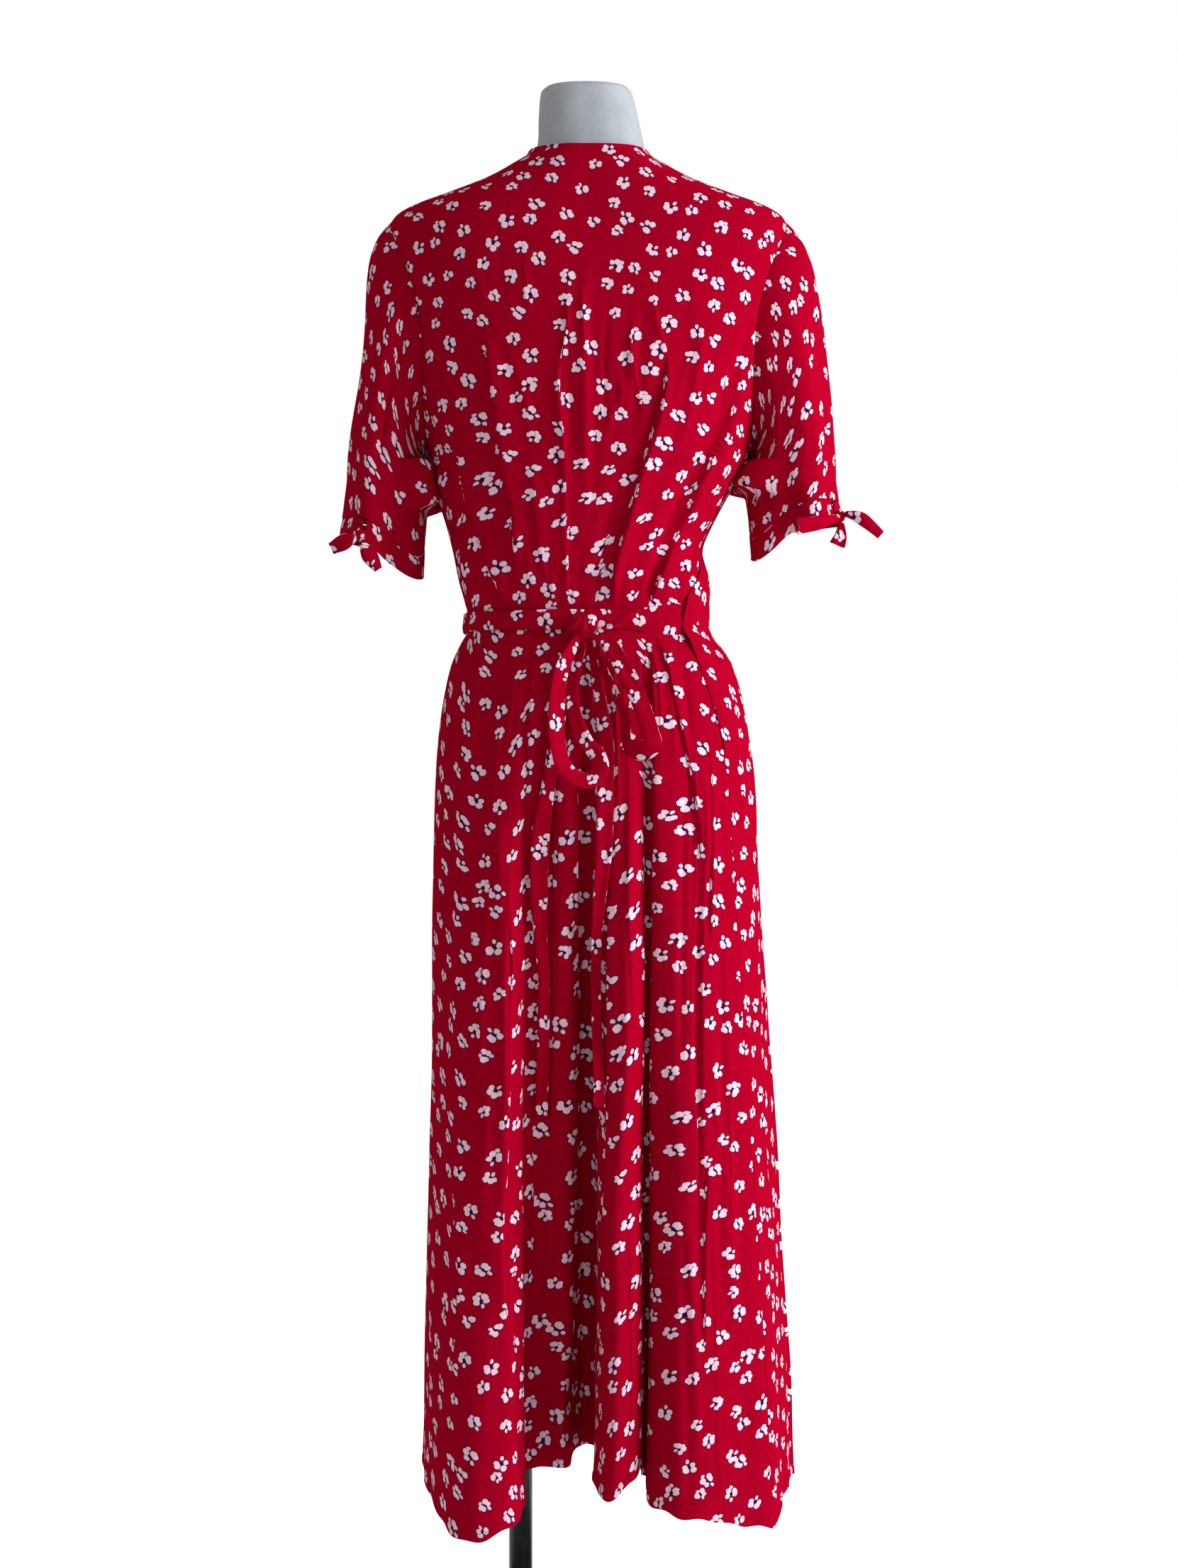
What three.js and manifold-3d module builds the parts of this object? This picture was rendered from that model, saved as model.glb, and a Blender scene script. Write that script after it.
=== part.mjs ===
// A wrap dress of thin printed viscose, worn by a limbless display form on a pole and a round foot.
// Millimetres. +Z is up, +Y is the wearer's front and +X the wearer's right. The origin is the
// middle of the foot's underside, on the floor. The dress ties in a bow at the middle of the back.
import * as THREE from "three";
import { mergeVertices } from "three/addons/utils/BufferGeometryUtils.js";
import Module from "manifold-3d";

const wasm = await Module();
wasm.setup();
const { Manifold, Mesh } = wasm;

// Driving dimensions
const CLOTH = 2.0; // thickness of a cloth wall
const SEAM_GAP = 0.3; // between two pieces at a seam
const WRAP_LIFT = 3.0; // the outer front stands out by this, and the inner one sinks by it
const WAIST_Z = 1008;
const UNDERARM_Z = 1160;
const SHOULDER_TIP_Z = 1392;
const NECKLINE_Z = 1454;
const TIE_THICK = 1.8;
const BELT_LOW_Z = 1002;
const BELT_TOP_Z = 1020;
const BELT_OFF = 1.4; // from the waist to the inside of the tie
const CUFF_BAND = 21; // height of the band sewn to the sleeve
const FORM_BOTTOM_Z = 748;
const NECK_TOP_Z = 1514;
const POLE_RADIUS = 11;
const POLE_X = -64; // the pole stands left of the middle
const FOOT_RADIUS = 170;
const FOOT_THICK = 8;

const RED = new THREE.Color(0.4, 0.003, 0.014);
const JERSEY = new THREE.Color(0.74, 0.76, 0.78);
const BLACK = new THREE.Color(0.012, 0.012, 0.013);

// Level sections of the bodice as worn, before its folds: half width, depth behind and before
// the side seams, and the shift of the middle to one side.
const BODICE_SECTIONS = [
  { z: 1008, half: 114, back: 86, front: 88, shift: 0 },
  { z: 1020, half: 114, back: 87, front: 89, shift: 0 },
  { z: 1050, half: 118, back: 97, front: 101, shift: -4 },
  { z: 1080, half: 118, back: 104, front: 111, shift: -10 },
  { z: 1110, half: 128, back: 108, front: 119, shift: -8 },
  { z: 1140, half: 142, back: 110, front: 126, shift: -5 },
  { z: 1150, half: 146, back: 110, front: 128, shift: -2 },
  { z: 1160, half: 149, back: 111, front: 129, shift: 0 },
  { z: 1172, half: 152, back: 111, front: 131, shift: 0 },
  { z: 1230, half: 165, back: 112, front: 133, shift: 0 },
  { z: 1300, half: 177, back: 108, front: 116, shift: 0 },
  { z: 1345, half: 185, back: 99, front: 98, shift: 0 },
  { z: 1376, half: 188, back: 90, front: 85, shift: 0 },
  { z: 1392, half: 184, back: 85, front: 78, shift: 0 },
  { z: 1402, half: 169, back: 81, front: 73, shift: 0 },
  { z: 1414, half: 136, back: 77, front: 68, shift: 0 },
  { z: 1427, half: 102, back: 72, front: 61, shift: 0 },
  { z: 1440, half: 77, back: 66, front: 53, shift: 0 },
  { z: 1454, half: 58, back: 59, front: 45, shift: 0 },
];
// Level sections under the skirt's folds
const SKIRT_SECTIONS = [
  { z: 1008, half: 114, back: 86, front: 88, shift: 0 },
  { z: 1001, half: 115, back: 87, front: 89, shift: 0 },
  { z: 994, half: 120, back: 90, front: 92, shift: 1 },
  { z: 971, half: 132, back: 98, front: 97, shift: 3 },
  { z: 918, half: 142, back: 108, front: 103, shift: 3 },
  { z: 864, half: 147, back: 115, front: 108, shift: 4 },
  { z: 757, half: 149, back: 118, front: 114, shift: 4 },
  { z: 560, half: 149, back: 122, front: 120, shift: 7 },
  { z: 400, half: 153, back: 125, front: 124, shift: 10 },
  { z: 160, half: 160, back: 128, front: 128, shift: 15 },
];
// The skirt's large folds, one row for each crest, flank or trough. `turn` is its place round the
// waist in degrees, 0 on the wearer's right and 90 in front; x, y and z are its place on the hem.
const SKIRT_FOLDS = [
  { turn: 180, x: -151, y: 0, z: 232 },
  { turn: 194, x: -153, y: -48, z: 226 },
  { turn: 207, x: -143, y: -100, z: 206 },
  { turn: 219, x: -116, y: -146, z: 180 },
  { turn: 230, x: -74, y: -150, z: 190 },
  { turn: 237, x: -58, y: -120, z: 204 },
  { turn: 242, x: -62, y: -84, z: 222 },
  { turn: 248, x: -46, y: -68, z: 230 },
  { turn: 256, x: -24, y: -70, z: 228 },
  { turn: 261, x: -14, y: -46, z: 238 },
  { turn: 266, x: -4, y: -30, z: 243 },
  { turn: 270, x: 7, y: -48, z: 240 },
  { turn: 274, x: 4, y: -100, z: 224 },
  { turn: 279, x: 16, y: -140, z: 214 },
  { turn: 285, x: 38, y: -138, z: 230 },
  { turn: 290, x: 50, y: -110, z: 238 },
  { turn: 294, x: 51, y: -86, z: 222 },
  { turn: 298, x: 58, y: -122, z: 208 },
  { turn: 304, x: 78, y: -150, z: 203 },
  { turn: 311, x: 104, y: -148, z: 198 },
  { turn: 318, x: 132, y: -134, z: 192 },
  { turn: 326, x: 168, y: -110, z: 184 },
  { turn: 340, x: 179, y: -68, z: 198 },
  { turn: 352, x: 188, y: -26, z: 206 },
  { turn: 363, x: 193, y: 16, z: 210 },
  { turn: 374, x: 183, y: 60, z: 220 },
  { turn: 385, x: 160, y: 92, z: 226 },
  { turn: 394, x: 140, y: 92, z: 226 },
  { turn: 403, x: 120, y: 126, z: 222 },
  { turn: 415, x: 92, y: 140, z: 222 },
  { turn: 425, x: 76, y: 116, z: 226 },
  { turn: 434, x: 58, y: 136, z: 222 },
  { turn: 443, x: 32, y: 148, z: 220 },
  { turn: 451, x: 13, y: 124, z: 226 },
  { turn: 459, x: -6, y: 146, z: 222 },
  { turn: 468, x: -32, y: 150, z: 220 },
  { turn: 477, x: -50, y: 122, z: 226 },
  { turn: 486, x: -68, y: 138, z: 224 },
  { turn: 497, x: -98, y: 130, z: 226 },
  { turn: 508, x: -118, y: 100, z: 230 },
  { turn: 520, x: -140, y: 82, z: 228 },
  { turn: 531, x: -150, y: 42, z: 230 },
];
// Where the skirt's pieces end, in rows of the table above
const RIGHT_SEAM_ROW = 21;
const INNER_EDGE_ROW = 28;
const OUTER_EDGE_ROW = 38;
const LEFT_SEAM_ROW = SKIRT_FOLDS.length;
const FALL_POWER = 1.3; // the folds deepen towards the hem

// The bodice's long soft folds behind: a crest (rise over 0) or trough runs from a high point to
// a low one near the waist, bowed sideways by `bow`.
const BACK_FOLDS = [
  { highX: -126, highZ: 1222, lowX: -80, lowZ: 1022, bow: 0, width: 13, rise: 4 },
  { highX: -94, highZ: 1300, lowX: -50, lowZ: 1090, bow: -4, width: 13, rise: 4 },
  { highX: 0, highZ: 1322, lowX: 2, lowZ: 1060, bow: -5, width: 12, rise: 3.5 },
  { highX: 84, highZ: 1278, lowX: 22, lowZ: 1016, bow: -8, width: 12, rise: 7 },
  { highX: 140, highZ: 1286, lowX: 66, lowZ: 1046, bow: 3, width: 13, rise: -6 },
];
const FRONT_FOLDS = [
  { highX: 8, highZ: 1214, lowX: -26, lowZ: 1024, bow: -3, width: 12, rise: 4 },
  { highX: 62, highZ: 1224, lowX: 26, lowZ: 1024, bow: -3, width: 11, rise: 5 },
  { highX: 106, highZ: 1226, lowX: 70, lowZ: 1020, bow: 0, width: 11, rise: 5 },
];
const SEAM_CALM = 22; // folds start this far from a seam
// Gathers held by the waist seam: how many behind, how high and how long
const BODICE_GATHERS = 16;
const GATHER_RISE = 2.4;
const GATHER_UP = 46;
const GATHER_DOWN = 80;

// The sleeves. The ring is a level oval at the underarm; the cuff hangs under it.
const RING_Z = 1146;
const RING_FORWARD = 4;
const HALF_DEEP = 66;
// Places in the middle and half widths from side to side; `hollow` is how far the cap falls short
// of a full curve on its outer side, and `slit` is the column of twenty round the cuff where its
// band opens under the tie.
const SLEEVES = {
  right: { ringX: 191, ringHalf: 43, cuffX: 197, cuffHalf: 43, hollow: 9, hem: "right", slit: 18 },
  left: { ringX: 190, ringHalf: 38, cuffX: 196, cuffHalf: 40, hollow: 16, hem: "left", slit: 16 },
};
// Round the cuff, from its outer side to the front, the inner side and the back: the height of
// either hem, and how far the cloth stands off the plain oval.
const CUFF_FOLDS = [
  { right: 1104, left: 1088, off: 0 },
  { right: 1105, left: 1089, off: -4 },
  { right: 1104, left: 1087, off: 3 },
  { right: 1100, left: 1083, off: -4 },
  { right: 1090, left: 1075, off: 2 },
  { right: 1076, left: 1060, off: 0 },
  { right: 1069, left: 1051, off: 6 },
  { right: 1092, left: 1066, off: -9 },
  { right: 1102, left: 1084, off: 4 },
  { right: 1104, left: 1087, off: -2 },
];
const ARMHOLE_STEPS = 10; // from the underarm to the shoulder, in front and behind
const ARMHOLE_BACK = 22; // degrees from the side to the armhole's seam behind
const ARMHOLE_FRONT = 26;

const TAU = 2 * Math.PI;
const rad = (degrees) => (degrees * Math.PI) / 180;
const mix = (a, b, t) => a + (b - a) * t;
const clamp01 = (t) => Math.min(1, Math.max(0, t));
const smooth = (t) => clamp01(t) ** 2 * (3 - 2 * clamp01(t));
const at = (x, y, z) => new THREE.Vector3(x, y, z);
const evenly = (n) => Array.from({ length: n + 1 }, (_, i) => i / n);

// A smooth curve through four values in a row, between the middle two
function through(a, b, c, d, t) {
  const cubic = (3 * (b - c) + d - a) * t * t * t;
  return b + 0.5 * ((c - a) * t + (2 * a - 5 * b + 4 * c - d) * t * t + cubic);
}

// One column of a table at a height
function section(table, column, z) {
  const down = table[0].z > table[1].z;
  const last = table.length - 2;
  let i = 0;
  while (i < last && (down ? z < table[i + 1].z : z > table[i + 1].z)) i++;
  const t = clamp01((z - table[i].z) / (table[i + 1].z - table[i].z));
  const slope = (k) => {
    if (k <= 0 || k > last) return 0;
    const span = table[k + 1].z - table[k - 1].z;
    return (table[k + 1][column] - table[k - 1][column]) / span;
  };
  const span = table[i + 1].z - table[i].z;
  const a = table[i][column];
  const b = table[i + 1][column];
  const ease = t * t * (3 - 2 * t);
  const leave = t * (1 - t) * (1 - t) * slope(i) * span;
  const arrive = t * t * (1 - t) * slope(i + 1) * span;
  return mix(a, b, ease) + leave - arrive;
}

// One column of a ring of rows, at a place counted in rows round the ring
function ringValue(table, column, place, wrap = 0) {
  const n = table.length;
  const i = Math.floor(place);
  const row = (k) => table[((k % n) + n) % n][column] + wrap * Math.floor(k / n);
  return through(row(i - 1), row(i), row(i + 1), row(i + 2), place - i);
}

// The body's outline at one height, a squared oval, at an angle round it
const OVAL_POWER = 2.5;
function oval(table, angle, z) {
  const deep = Math.sin(angle) < 0 ? "back" : "front";
  const across = Math.abs(Math.cos(angle)) / section(table, "half", z);
  const along = Math.abs(Math.sin(angle)) / section(table, deep, z);
  const reach = (across ** OVAL_POWER + along ** OVAL_POWER) ** (-1 / OVAL_POWER);
  const shift = section(table, "shift", z);
  return at(shift + reach * Math.cos(angle), reach * Math.sin(angle), z);
}

// The rise of the gathers at a distance from the waist tie; `count` grows by one a gather.
function gathers(count, distance, length) {
  const d = distance / length;
  const uneven = 0.7 + 0.3 * Math.sin(2.4 * count + 1);
  return GATHER_RISE * uneven * Math.cos(TAU * count) * smooth(d * 4) * smooth(1 - d);
}

function foldRise(folds, x, z) {
  let rise = 0;
  for (const f of folds) {
    const t = (f.highZ - z) / (f.highZ - f.lowZ);
    if (t <= 0 || t >= 1.15) continue;
    const middle = mix(f.highX, f.lowX, t) + 4 * f.bow * t * (1 - t);
    const fade = smooth(t / 0.45) * smooth((1.15 - t) / 0.15);
    rise += f.rise * fade * smooth((z - BELT_TOP_Z) / 24) * Math.exp(-(((x - middle) / f.width) ** 2));
  }
  return rise;
}

// Where the skirt hangs: `place` counts rows of SKIRT_FOLDS, `drop` is 0 at the waist and 1 on
// the hem.
function skirt(place, drop) {
  const z = mix(WAIST_Z - SEAM_GAP / 2, ringValue(SKIRT_FOLDS, "z", place), drop);
  const angle = rad(ringValue(SKIRT_FOLDS, "turn", place, 360));
  const body = oval(SKIRT_SECTIONS, angle, z);
  const share = Math.max(0, drop) ** FALL_POWER;
  const x = mix(body.x, ringValue(SKIRT_FOLDS, "x", place), share);
  const y = mix(body.y, ringValue(SKIRT_FOLDS, "y", place), share);
  const rise = gathers(place, BELT_LOW_Z - z, GATHER_DOWN);
  return at(x + rise * Math.cos(angle), y + rise * Math.sin(angle), z);
}

// The outward direction of a surface(u, v) whose u runs round the body and v upwards
const NUDGE = 1e-3;
function outward(surface, u, v) {
  const alongU = surface(u + NUDGE, v).sub(surface(u - NUDGE, v));
  const alongV = surface(u, v + NUDGE).sub(surface(u, v - NUDGE));
  return alongU.cross(alongV).normalize();
}

function solid(points, faces) {
  const geometry = new THREE.BufferGeometry();
  geometry.setAttribute("position", new THREE.Float32BufferAttribute(points, 3));
  geometry.setIndex(faces);
  const shaded = mergeVertices(geometry);
  shaded.computeVertexNormals();
  return shaded;
}

// The same body on the wearer's other side
function mirrored(geometry) {
  geometry.scale(-1, 1, 1);
  const index = geometry.getIndex();
  for (let i = 0; i < index.count; i += 3) {
    const second = index.getX(i + 1);
    index.setX(i + 1, index.getX(i + 2));
    index.setX(i + 2, second);
  }
  geometry.computeVertexNormals();
  return geometry;
}

// A closed wall of cloth. surface(u, v) gives its outer face for u and v from 0 to 1, lift(u, v)
// moves it out, and rows lists the heights v. A tube's last column meets its first.
function wall({ surface, columns, rows, lift = () => 0, thick = CLOTH, tube = false }) {
  const points = [];
  const faces = [];
  const wide = tube ? columns : columns + 1;
  for (const depth of [0, thick])
    for (const v of rows)
      for (let i = 0; i < wide; i++) {
        const u = i / columns;
        const p = surface(u, v).addScaledVector(outward(surface, u, v), lift(u, v) - depth);
        points.push(p.x, p.y, p.z);
      }
  const id = (side, row, column) => (side * rows.length + row) * wide + (column % wide);
  const quad = (a, b, c, d) => faces.push(a, b, c, a, c, d);
  for (let j = 0; j + 1 < rows.length; j++)
    for (let i = 0; i < columns; i++) {
      quad(id(0, j, i), id(0, j, i + 1), id(0, j + 1, i + 1), id(0, j + 1, i));
      quad(id(1, j, i), id(1, j + 1, i), id(1, j + 1, i + 1), id(1, j, i + 1));
    }
  const top = rows.length - 1;
  for (let i = 0; i < columns; i++) {
    quad(id(0, 0, i + 1), id(0, 0, i), id(1, 0, i), id(1, 0, i + 1));
    quad(id(0, top, i), id(0, top, i + 1), id(1, top, i + 1), id(1, top, i));
  }
  if (!tube)
    for (let j = 0; j < top; j++) {
      quad(id(0, j, 0), id(0, j + 1, 0), id(1, j + 1, 0), id(1, j, 0));
      quad(id(0, j, columns), id(1, j, columns), id(1, j + 1, columns), id(0, j + 1, columns));
    }
  return solid(points, faces);
}

// A closed body through rings of points that run anticlockwise round its axis
function loft(rings) {
  const n = rings[0].length;
  const points = rings.flat().flatMap((p) => [p.x, p.y, p.z]);
  const faces = [];
  for (let j = 0; j + 1 < rings.length; j++)
    for (let i = 0; i < n; i++) {
      const [a, b] = [j * n + i, j * n + ((i + 1) % n)];
      faces.push(a, b, b + n, a, b + n, a + n);
    }
  const top = (rings.length - 1) * n;
  for (let i = 1; i + 1 < n; i++) faces.push(0, i + 1, i, top, top + i, top + i + 1);
  return solid(points, faces);
}

// A body turned round a vertical axis at x, through radii and heights
function turned(profile, x, sides) {
  const ring = ({ r, z }) =>
    evenly(sides).slice(0, -1).map((t) => at(x + r * Math.cos(TAU * t), r * Math.sin(TAU * t), z));
  return loft(profile.map(ring));
}

// A turned sleeve round the pole, from an inner radius out
function turnedRing(profile, inner, x, sides) {
  const points = [];
  const faces = [];
  const loop = [...profile, { r: inner, z: profile.at(-1).z }, { r: inner, z: profile[0].z }];
  for (const { r, z } of loop)
    for (let i = 0; i < sides; i++) {
      const a = (TAU * i) / sides;
      points.push(x + r * Math.cos(a), r * Math.sin(a), z);
    }
  loop.forEach((_, j) => {
    for (let i = 0; i < sides; i++) {
      const k = (i + 1) % sides;
      const next = ((j + 1) % loop.length) * sides;
      faces.push(j * sides + i, j * sides + k, next + k, j * sides + i, next + k, next + i);
    }
  });
  return solid(points, faces);
}

// A flat strip of cloth along a path; `across` is its width's direction where it starts, and the
// strip turns no more than the path does. Each row of the path may state its width.
function ribbon(path, across, steps, thick = TIE_THICK) {
  const curve = (column, s) => {
    const k = Math.min(path.length - 2, Math.floor(s));
    const value = (i) => path[Math.min(path.length - 1, Math.max(0, i))][column];
    return through(value(k - 1), value(k), value(k + 1), value(k + 2), s - k);
  };
  const point = (s) => at(curve("x", s), curve("y", s), curve("z", s));
  const end = path.length - 1;
  let side = across.clone();
  const rings = evenly(steps).map((t) => {
    const s = t * end;
    const along = point(Math.min(end, s + 0.01)).sub(point(Math.max(0, s - 0.01))).normalize();
    side = side.clone().addScaledVector(along, -side.dot(along)).normalize();
    const face = along.clone().cross(side);
    const half = curve("wide", s) / 2;
    const corner = (w, f) =>
      point(s).addScaledVector(side, w * half).addScaledVector(face, (f * thick) / 2);
    return [corner(1, 1), corner(-1, 1), corner(-1, -1), corner(1, -1)];
  });
  return loft(rings);
}

// A rounded lump such as a knot
function lump(middle, size, sides = 10, rows = 6) {
  const rings = evenly(rows).map((t) => {
    const tall = Math.cos(Math.PI * mix(0.94, 0.06, t));
    const round = Math.sqrt(1 - tall * tall) ** 0.8;
    return evenly(sides).slice(0, -1).map((s) => {
      const a = TAU * s;
      const out = at(size.x * round * Math.cos(a), size.y * round * Math.sin(a), size.z * tall);
      return out.multiplyScalar(0.5).add(middle);
    });
  });
  return loft(rings);
}

// The first body without the second one
function cutBy(geometry, tool) {
  const body = ({ attributes, index }) => new Manifold(new Mesh({
    numProp: 3,
    vertProperties: attributes.position.array,
    triVerts: Uint32Array.from(index.array),
  }));
  const rest = body(geometry).subtract(body(tool)).getMesh();
  return solid([...rest.vertProperties], [...rest.triVerts]);
}

const part = new THREE.Group();
function add(name, geometry, colour, roughness, metalness = 0) {
  const material = new THREE.MeshStandardMaterial({ color: colour, roughness, metalness });
  const mesh = new THREE.Mesh(geometry, material);
  mesh.name = name;
  part.add(mesh);
}
const addCloth = (name, geometry) => add(name, geometry, RED, 0.75);

// The bodice. The wearer's right side seam sits behind the side at the waist, as it is worn.
const RIGHT_SEAM_TURN = SKIRT_FOLDS[RIGHT_SEAM_ROW].turn - 360;
const armholeZ = (k) =>
  mix(UNDERARM_Z, SHOULDER_TIP_Z, (1 - Math.cos((Math.PI * k) / ARMHOLE_STEPS)) / 2);
function armholeTurn(z, most) {
  const t = clamp01((z - UNDERARM_Z) / (SHOULDER_TIP_Z - UNDERARM_Z));
  return rad(most) * Math.sin(Math.PI * t) ** 0.6;
}
const rightSeam = (z) =>
  rad(RIGHT_SEAM_TURN) * (1 - smooth((z - WAIST_Z) / (UNDERARM_Z - WAIST_Z)));
const halfGap = (z) => SEAM_GAP / 2 / section(BODICE_SECTIONS, "half", z);

// A point of the bodice as worn; `edge` is how far it lies from the nearest sewn edge.
function bodice(angle, z, folds, edge) {
  const p = oval(BODICE_SECTIONS, angle, z);
  const rise = smooth(edge / SEAM_CALM) * foldRise(folds, p.x, z);
  return p.add(at(rise * Math.cos(angle), rise * Math.sin(angle), 0));
}

const BODICE_LOW = WAIST_Z + SEAM_GAP / 2;
const BODICE_ROWS = [BODICE_LOW, 1020, 1040, 1072, 1115];
for (let k = 0; k <= ARMHOLE_STEPS; k++) BODICE_ROWS.push(armholeZ(k));
BODICE_ROWS.push(1402, 1414, 1427, 1440);
const bodiceShare = (z) => (z - BODICE_LOW) / (NECKLINE_Z - BODICE_LOW);
const bodiceRows = (top) => [...BODICE_ROWS, top].map(bodiceShare);
const bodiceZ = (v) => mix(BODICE_LOW, NECKLINE_Z, v);

function backBodice() {
  const surface = (u, v) => {
    const z = bodiceZ(v);
    const left = Math.PI + armholeTurn(z, ARMHOLE_BACK) + halfGap(z);
    const right = TAU + rightSeam(z) - armholeTurn(z, ARMHOLE_BACK) - halfGap(z);
    const edge = Math.min(u, 1 - u) * (right - left) * section(BODICE_SECTIONS, "half", z);
    return bodice(mix(left, right, u), z, BACK_FOLDS, edge);
  };
  const lift = (u, v) =>
    gathers(u * BODICE_GATHERS + 0.5, bodiceZ(v) - BELT_TOP_Z, GATHER_UP) * smooth(6 * u) *
    smooth(6 * (1 - u));
  return wall({ surface, lift, columns: 2 * BODICE_GATHERS, rows: bodiceRows(NECKLINE_Z) });
}

// A front's free edge, in angle: seen from the front it runs straight from the side of the neck
// to its corner at the far side of the waist.
const FREE_EDGE_X = oval(BODICE_SECTIONS, rad(SKIRT_FOLDS[OUTER_EDGE_ROW].turn), WAIST_Z).x;
const NECK_SIDE_X = 55;
function freeEdge(z) {
  const x = mix(NECK_SIDE_X, FREE_EDGE_X, (NECKLINE_Z - z) / (NECKLINE_Z - WAIST_Z));
  let [low, high] = [0, Math.PI];
  for (let i = 0; i < 30; i++) {
    const middle = (low + high) / 2;
    if (oval(BODICE_SECTIONS, middle, z).x > x) low = middle;
    else high = middle;
  }
  return low;
}

const FRONT_TOP_Z = 1452;
function frontBodice(outer) {
  const surface = (u, v) => {
    const z = bodiceZ(v);
    const seam = (outer ? rightSeam(z) : 0) + armholeTurn(z, ARMHOLE_FRONT) + halfGap(z);
    const angle = mix(seam, freeEdge(z), outer ? u : 1 - u);
    const edge = (angle - seam) * section(BODICE_SECTIONS, "half", z);
    return bodice(outer ? angle : Math.PI - angle, z, outer ? FRONT_FOLDS : [], edge);
  };
  const lift = (u) => (outer ? WRAP_LIFT * smooth(u) : -WRAP_LIFT * smooth(1 - u));
  return wall({ surface, lift, columns: 14, rows: bodiceRows(FRONT_TOP_Z) });
}

addCloth("bodice_back", backBodice());
addCloth("bodice_front_right", frontBodice(true));
addCloth("bodice_front_left", frontBodice(false));

// The skirt
const SKIRT_ROWS_BACK = [1, 0.83, 0.66, 0.5, 0.36, 0.24, 0.15, 0.085, 0.045, 0.0085, 0];
const SKIRT_ROWS_FRONT = [1, 0.85, 0.66, 0.47, 0.3, 0.16, 0.08, 0.0085, 0];

function skirtPiece({ from, to, perRow, rows, liftAt }) {
  const gap = SEAM_GAP * 0.065; // in rows of the table, some 16 mm each at the waist
  const surface = (u, v) => skirt(mix(from + gap, to - gap, u), 1 - v);
  const heights = rows.map((drop) => 1 - drop);
  return wall({ surface, columns: (to - from) * perRow, rows: heights, lift: liftAt });
}

addCloth("skirt_back", skirtPiece({
  from: 0, to: RIGHT_SEAM_ROW, perRow: 4, rows: SKIRT_ROWS_BACK,
}));
addCloth("skirt_front_right", skirtPiece({
  from: RIGHT_SEAM_ROW, to: OUTER_EDGE_ROW, perRow: 3, rows: SKIRT_ROWS_FRONT,
  liftAt: (u) => WRAP_LIFT * smooth(u),
}));
addCloth("skirt_front_left", skirtPiece({
  from: INNER_EDGE_ROW, to: LEFT_SEAM_ROW, perRow: 3, rows: SKIRT_ROWS_FRONT,
  liftAt: (u) => -WRAP_LIFT * smooth(1 - u),
}));

// The wearer's right sleeve; the left one is mirrored. u runs from its outer side to the front,
// the underarm and the back; v is 0 on the hem and 1 in the armhole.
const RING_SHARE = 0.3;
const ARMHOLE_GAP = 0.45;
function armholePoint(turn) {
  const low = UNDERARM_Z + ARMHOLE_GAP;
  const z = mix(low, SHOULDER_TIP_Z - ARMHOLE_GAP, (1 + Math.cos(turn)) / 2);
  const most = Math.sin(turn) > 0 ? ARMHOLE_FRONT : ARMHOLE_BACK;
  const half = section(BODICE_SECTIONS, "half", z);
  const open = Math.max(0, armholeTurn(z, most) - ARMHOLE_GAP / half);
  const p = oval(BODICE_SECTIONS, Math.sign(Math.sin(turn)) * open, z);
  const clearOut = ARMHOLE_GAP * (1 - Math.cos(turn));
  return at(p.x + clearOut, p.y, p.z);
}

function sleevePoint(side, turn, height) {
  const fold = (column) => ringValue(CUFF_FOLDS, column, (turn / TAU) * CUFF_FOLDS.length);
  const below = clamp01((RING_SHARE - height) / RING_SHARE);
  const reach = 1 + (fold("off") / 50) * (0.35 + 0.65 * below);
  const half = mix(side.ringHalf, side.cuffHalf, below);
  const x = mix(side.ringX, side.cuffX, below) + half * reach * Math.cos(turn);
  const y = RING_FORWARD + HALF_DEEP * reach * Math.sin(turn);
  if (height <= RING_SHARE) return at(x, y, mix(RING_Z, fold(side.hem), below));
  const start = armholePoint(turn);
  const end = at(x, y, RING_Z);
  const up = (1 + Math.cos(turn)) / 2;
  const far = start.distanceTo(end);
  const leave = at(mix(0.9, 0.66, up), 0.1 * Math.sin(turn), -mix(0, 0.55, up));
  const t = (1 - height) / (1 - RING_SHARE);
  const p = start.clone().lerp(end, t * t * (3 - 2 * t));
  p.addScaledVector(leave, far * t * (1 - t) ** 2);
  const hollow = side.hollow * up * up * Math.sin(Math.PI * t) ** 2;
  return p.add(at(-hollow, 0, far * t * t * (1 - t)));
}

const SLEEVE_ROWS = [0.14, 0.3, 0.42, 0.55, 0.68, 0.8, 0.9, 0.96, 1];
const bandShare = (side, u) => {
  const hem = sleevePoint(side, TAU * u, 0).z;
  return (CUFF_BAND * RING_SHARE) / (RING_Z - hem);
};

// The sleeve's own wall starts above the band sewn to it, and the band has the same points.
const sleeveSurface = (side, share) => (u, v) => sleevePoint(side, TAU * u, share(u, v));

function sleeve(side) {
  const low = (u) => bandShare(side, u) * (1 + (3 * SEAM_GAP) / CUFF_BAND);
  const first = SLEEVE_ROWS[0];
  const share = (u, v) => (v < RING_SHARE
    ? mix(low(u), RING_SHARE, (v - first) / (RING_SHARE - first))
    : v);
  const surface = sleeveSurface(side, share);
  return wall({ surface, columns: 2 * ARMHOLE_STEPS, rows: SLEEVE_ROWS, tube: true });
}

const SLIT = 0.14; // half the slit in the band, in columns
function cuffBand(side) {
  const columns = 2 * ARMHOLE_STEPS;
  const surface = sleeveSurface(side, (u, v) => bandShare(side, u) * v);
  const open = (u, v) => {
    const column = Math.min(columns - SLIT, Math.max(SLIT, u * columns));
    return surface((side.slit + column) / columns, v);
  };
  return wall({ surface: open, columns, rows: [0, 1] });
}

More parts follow.
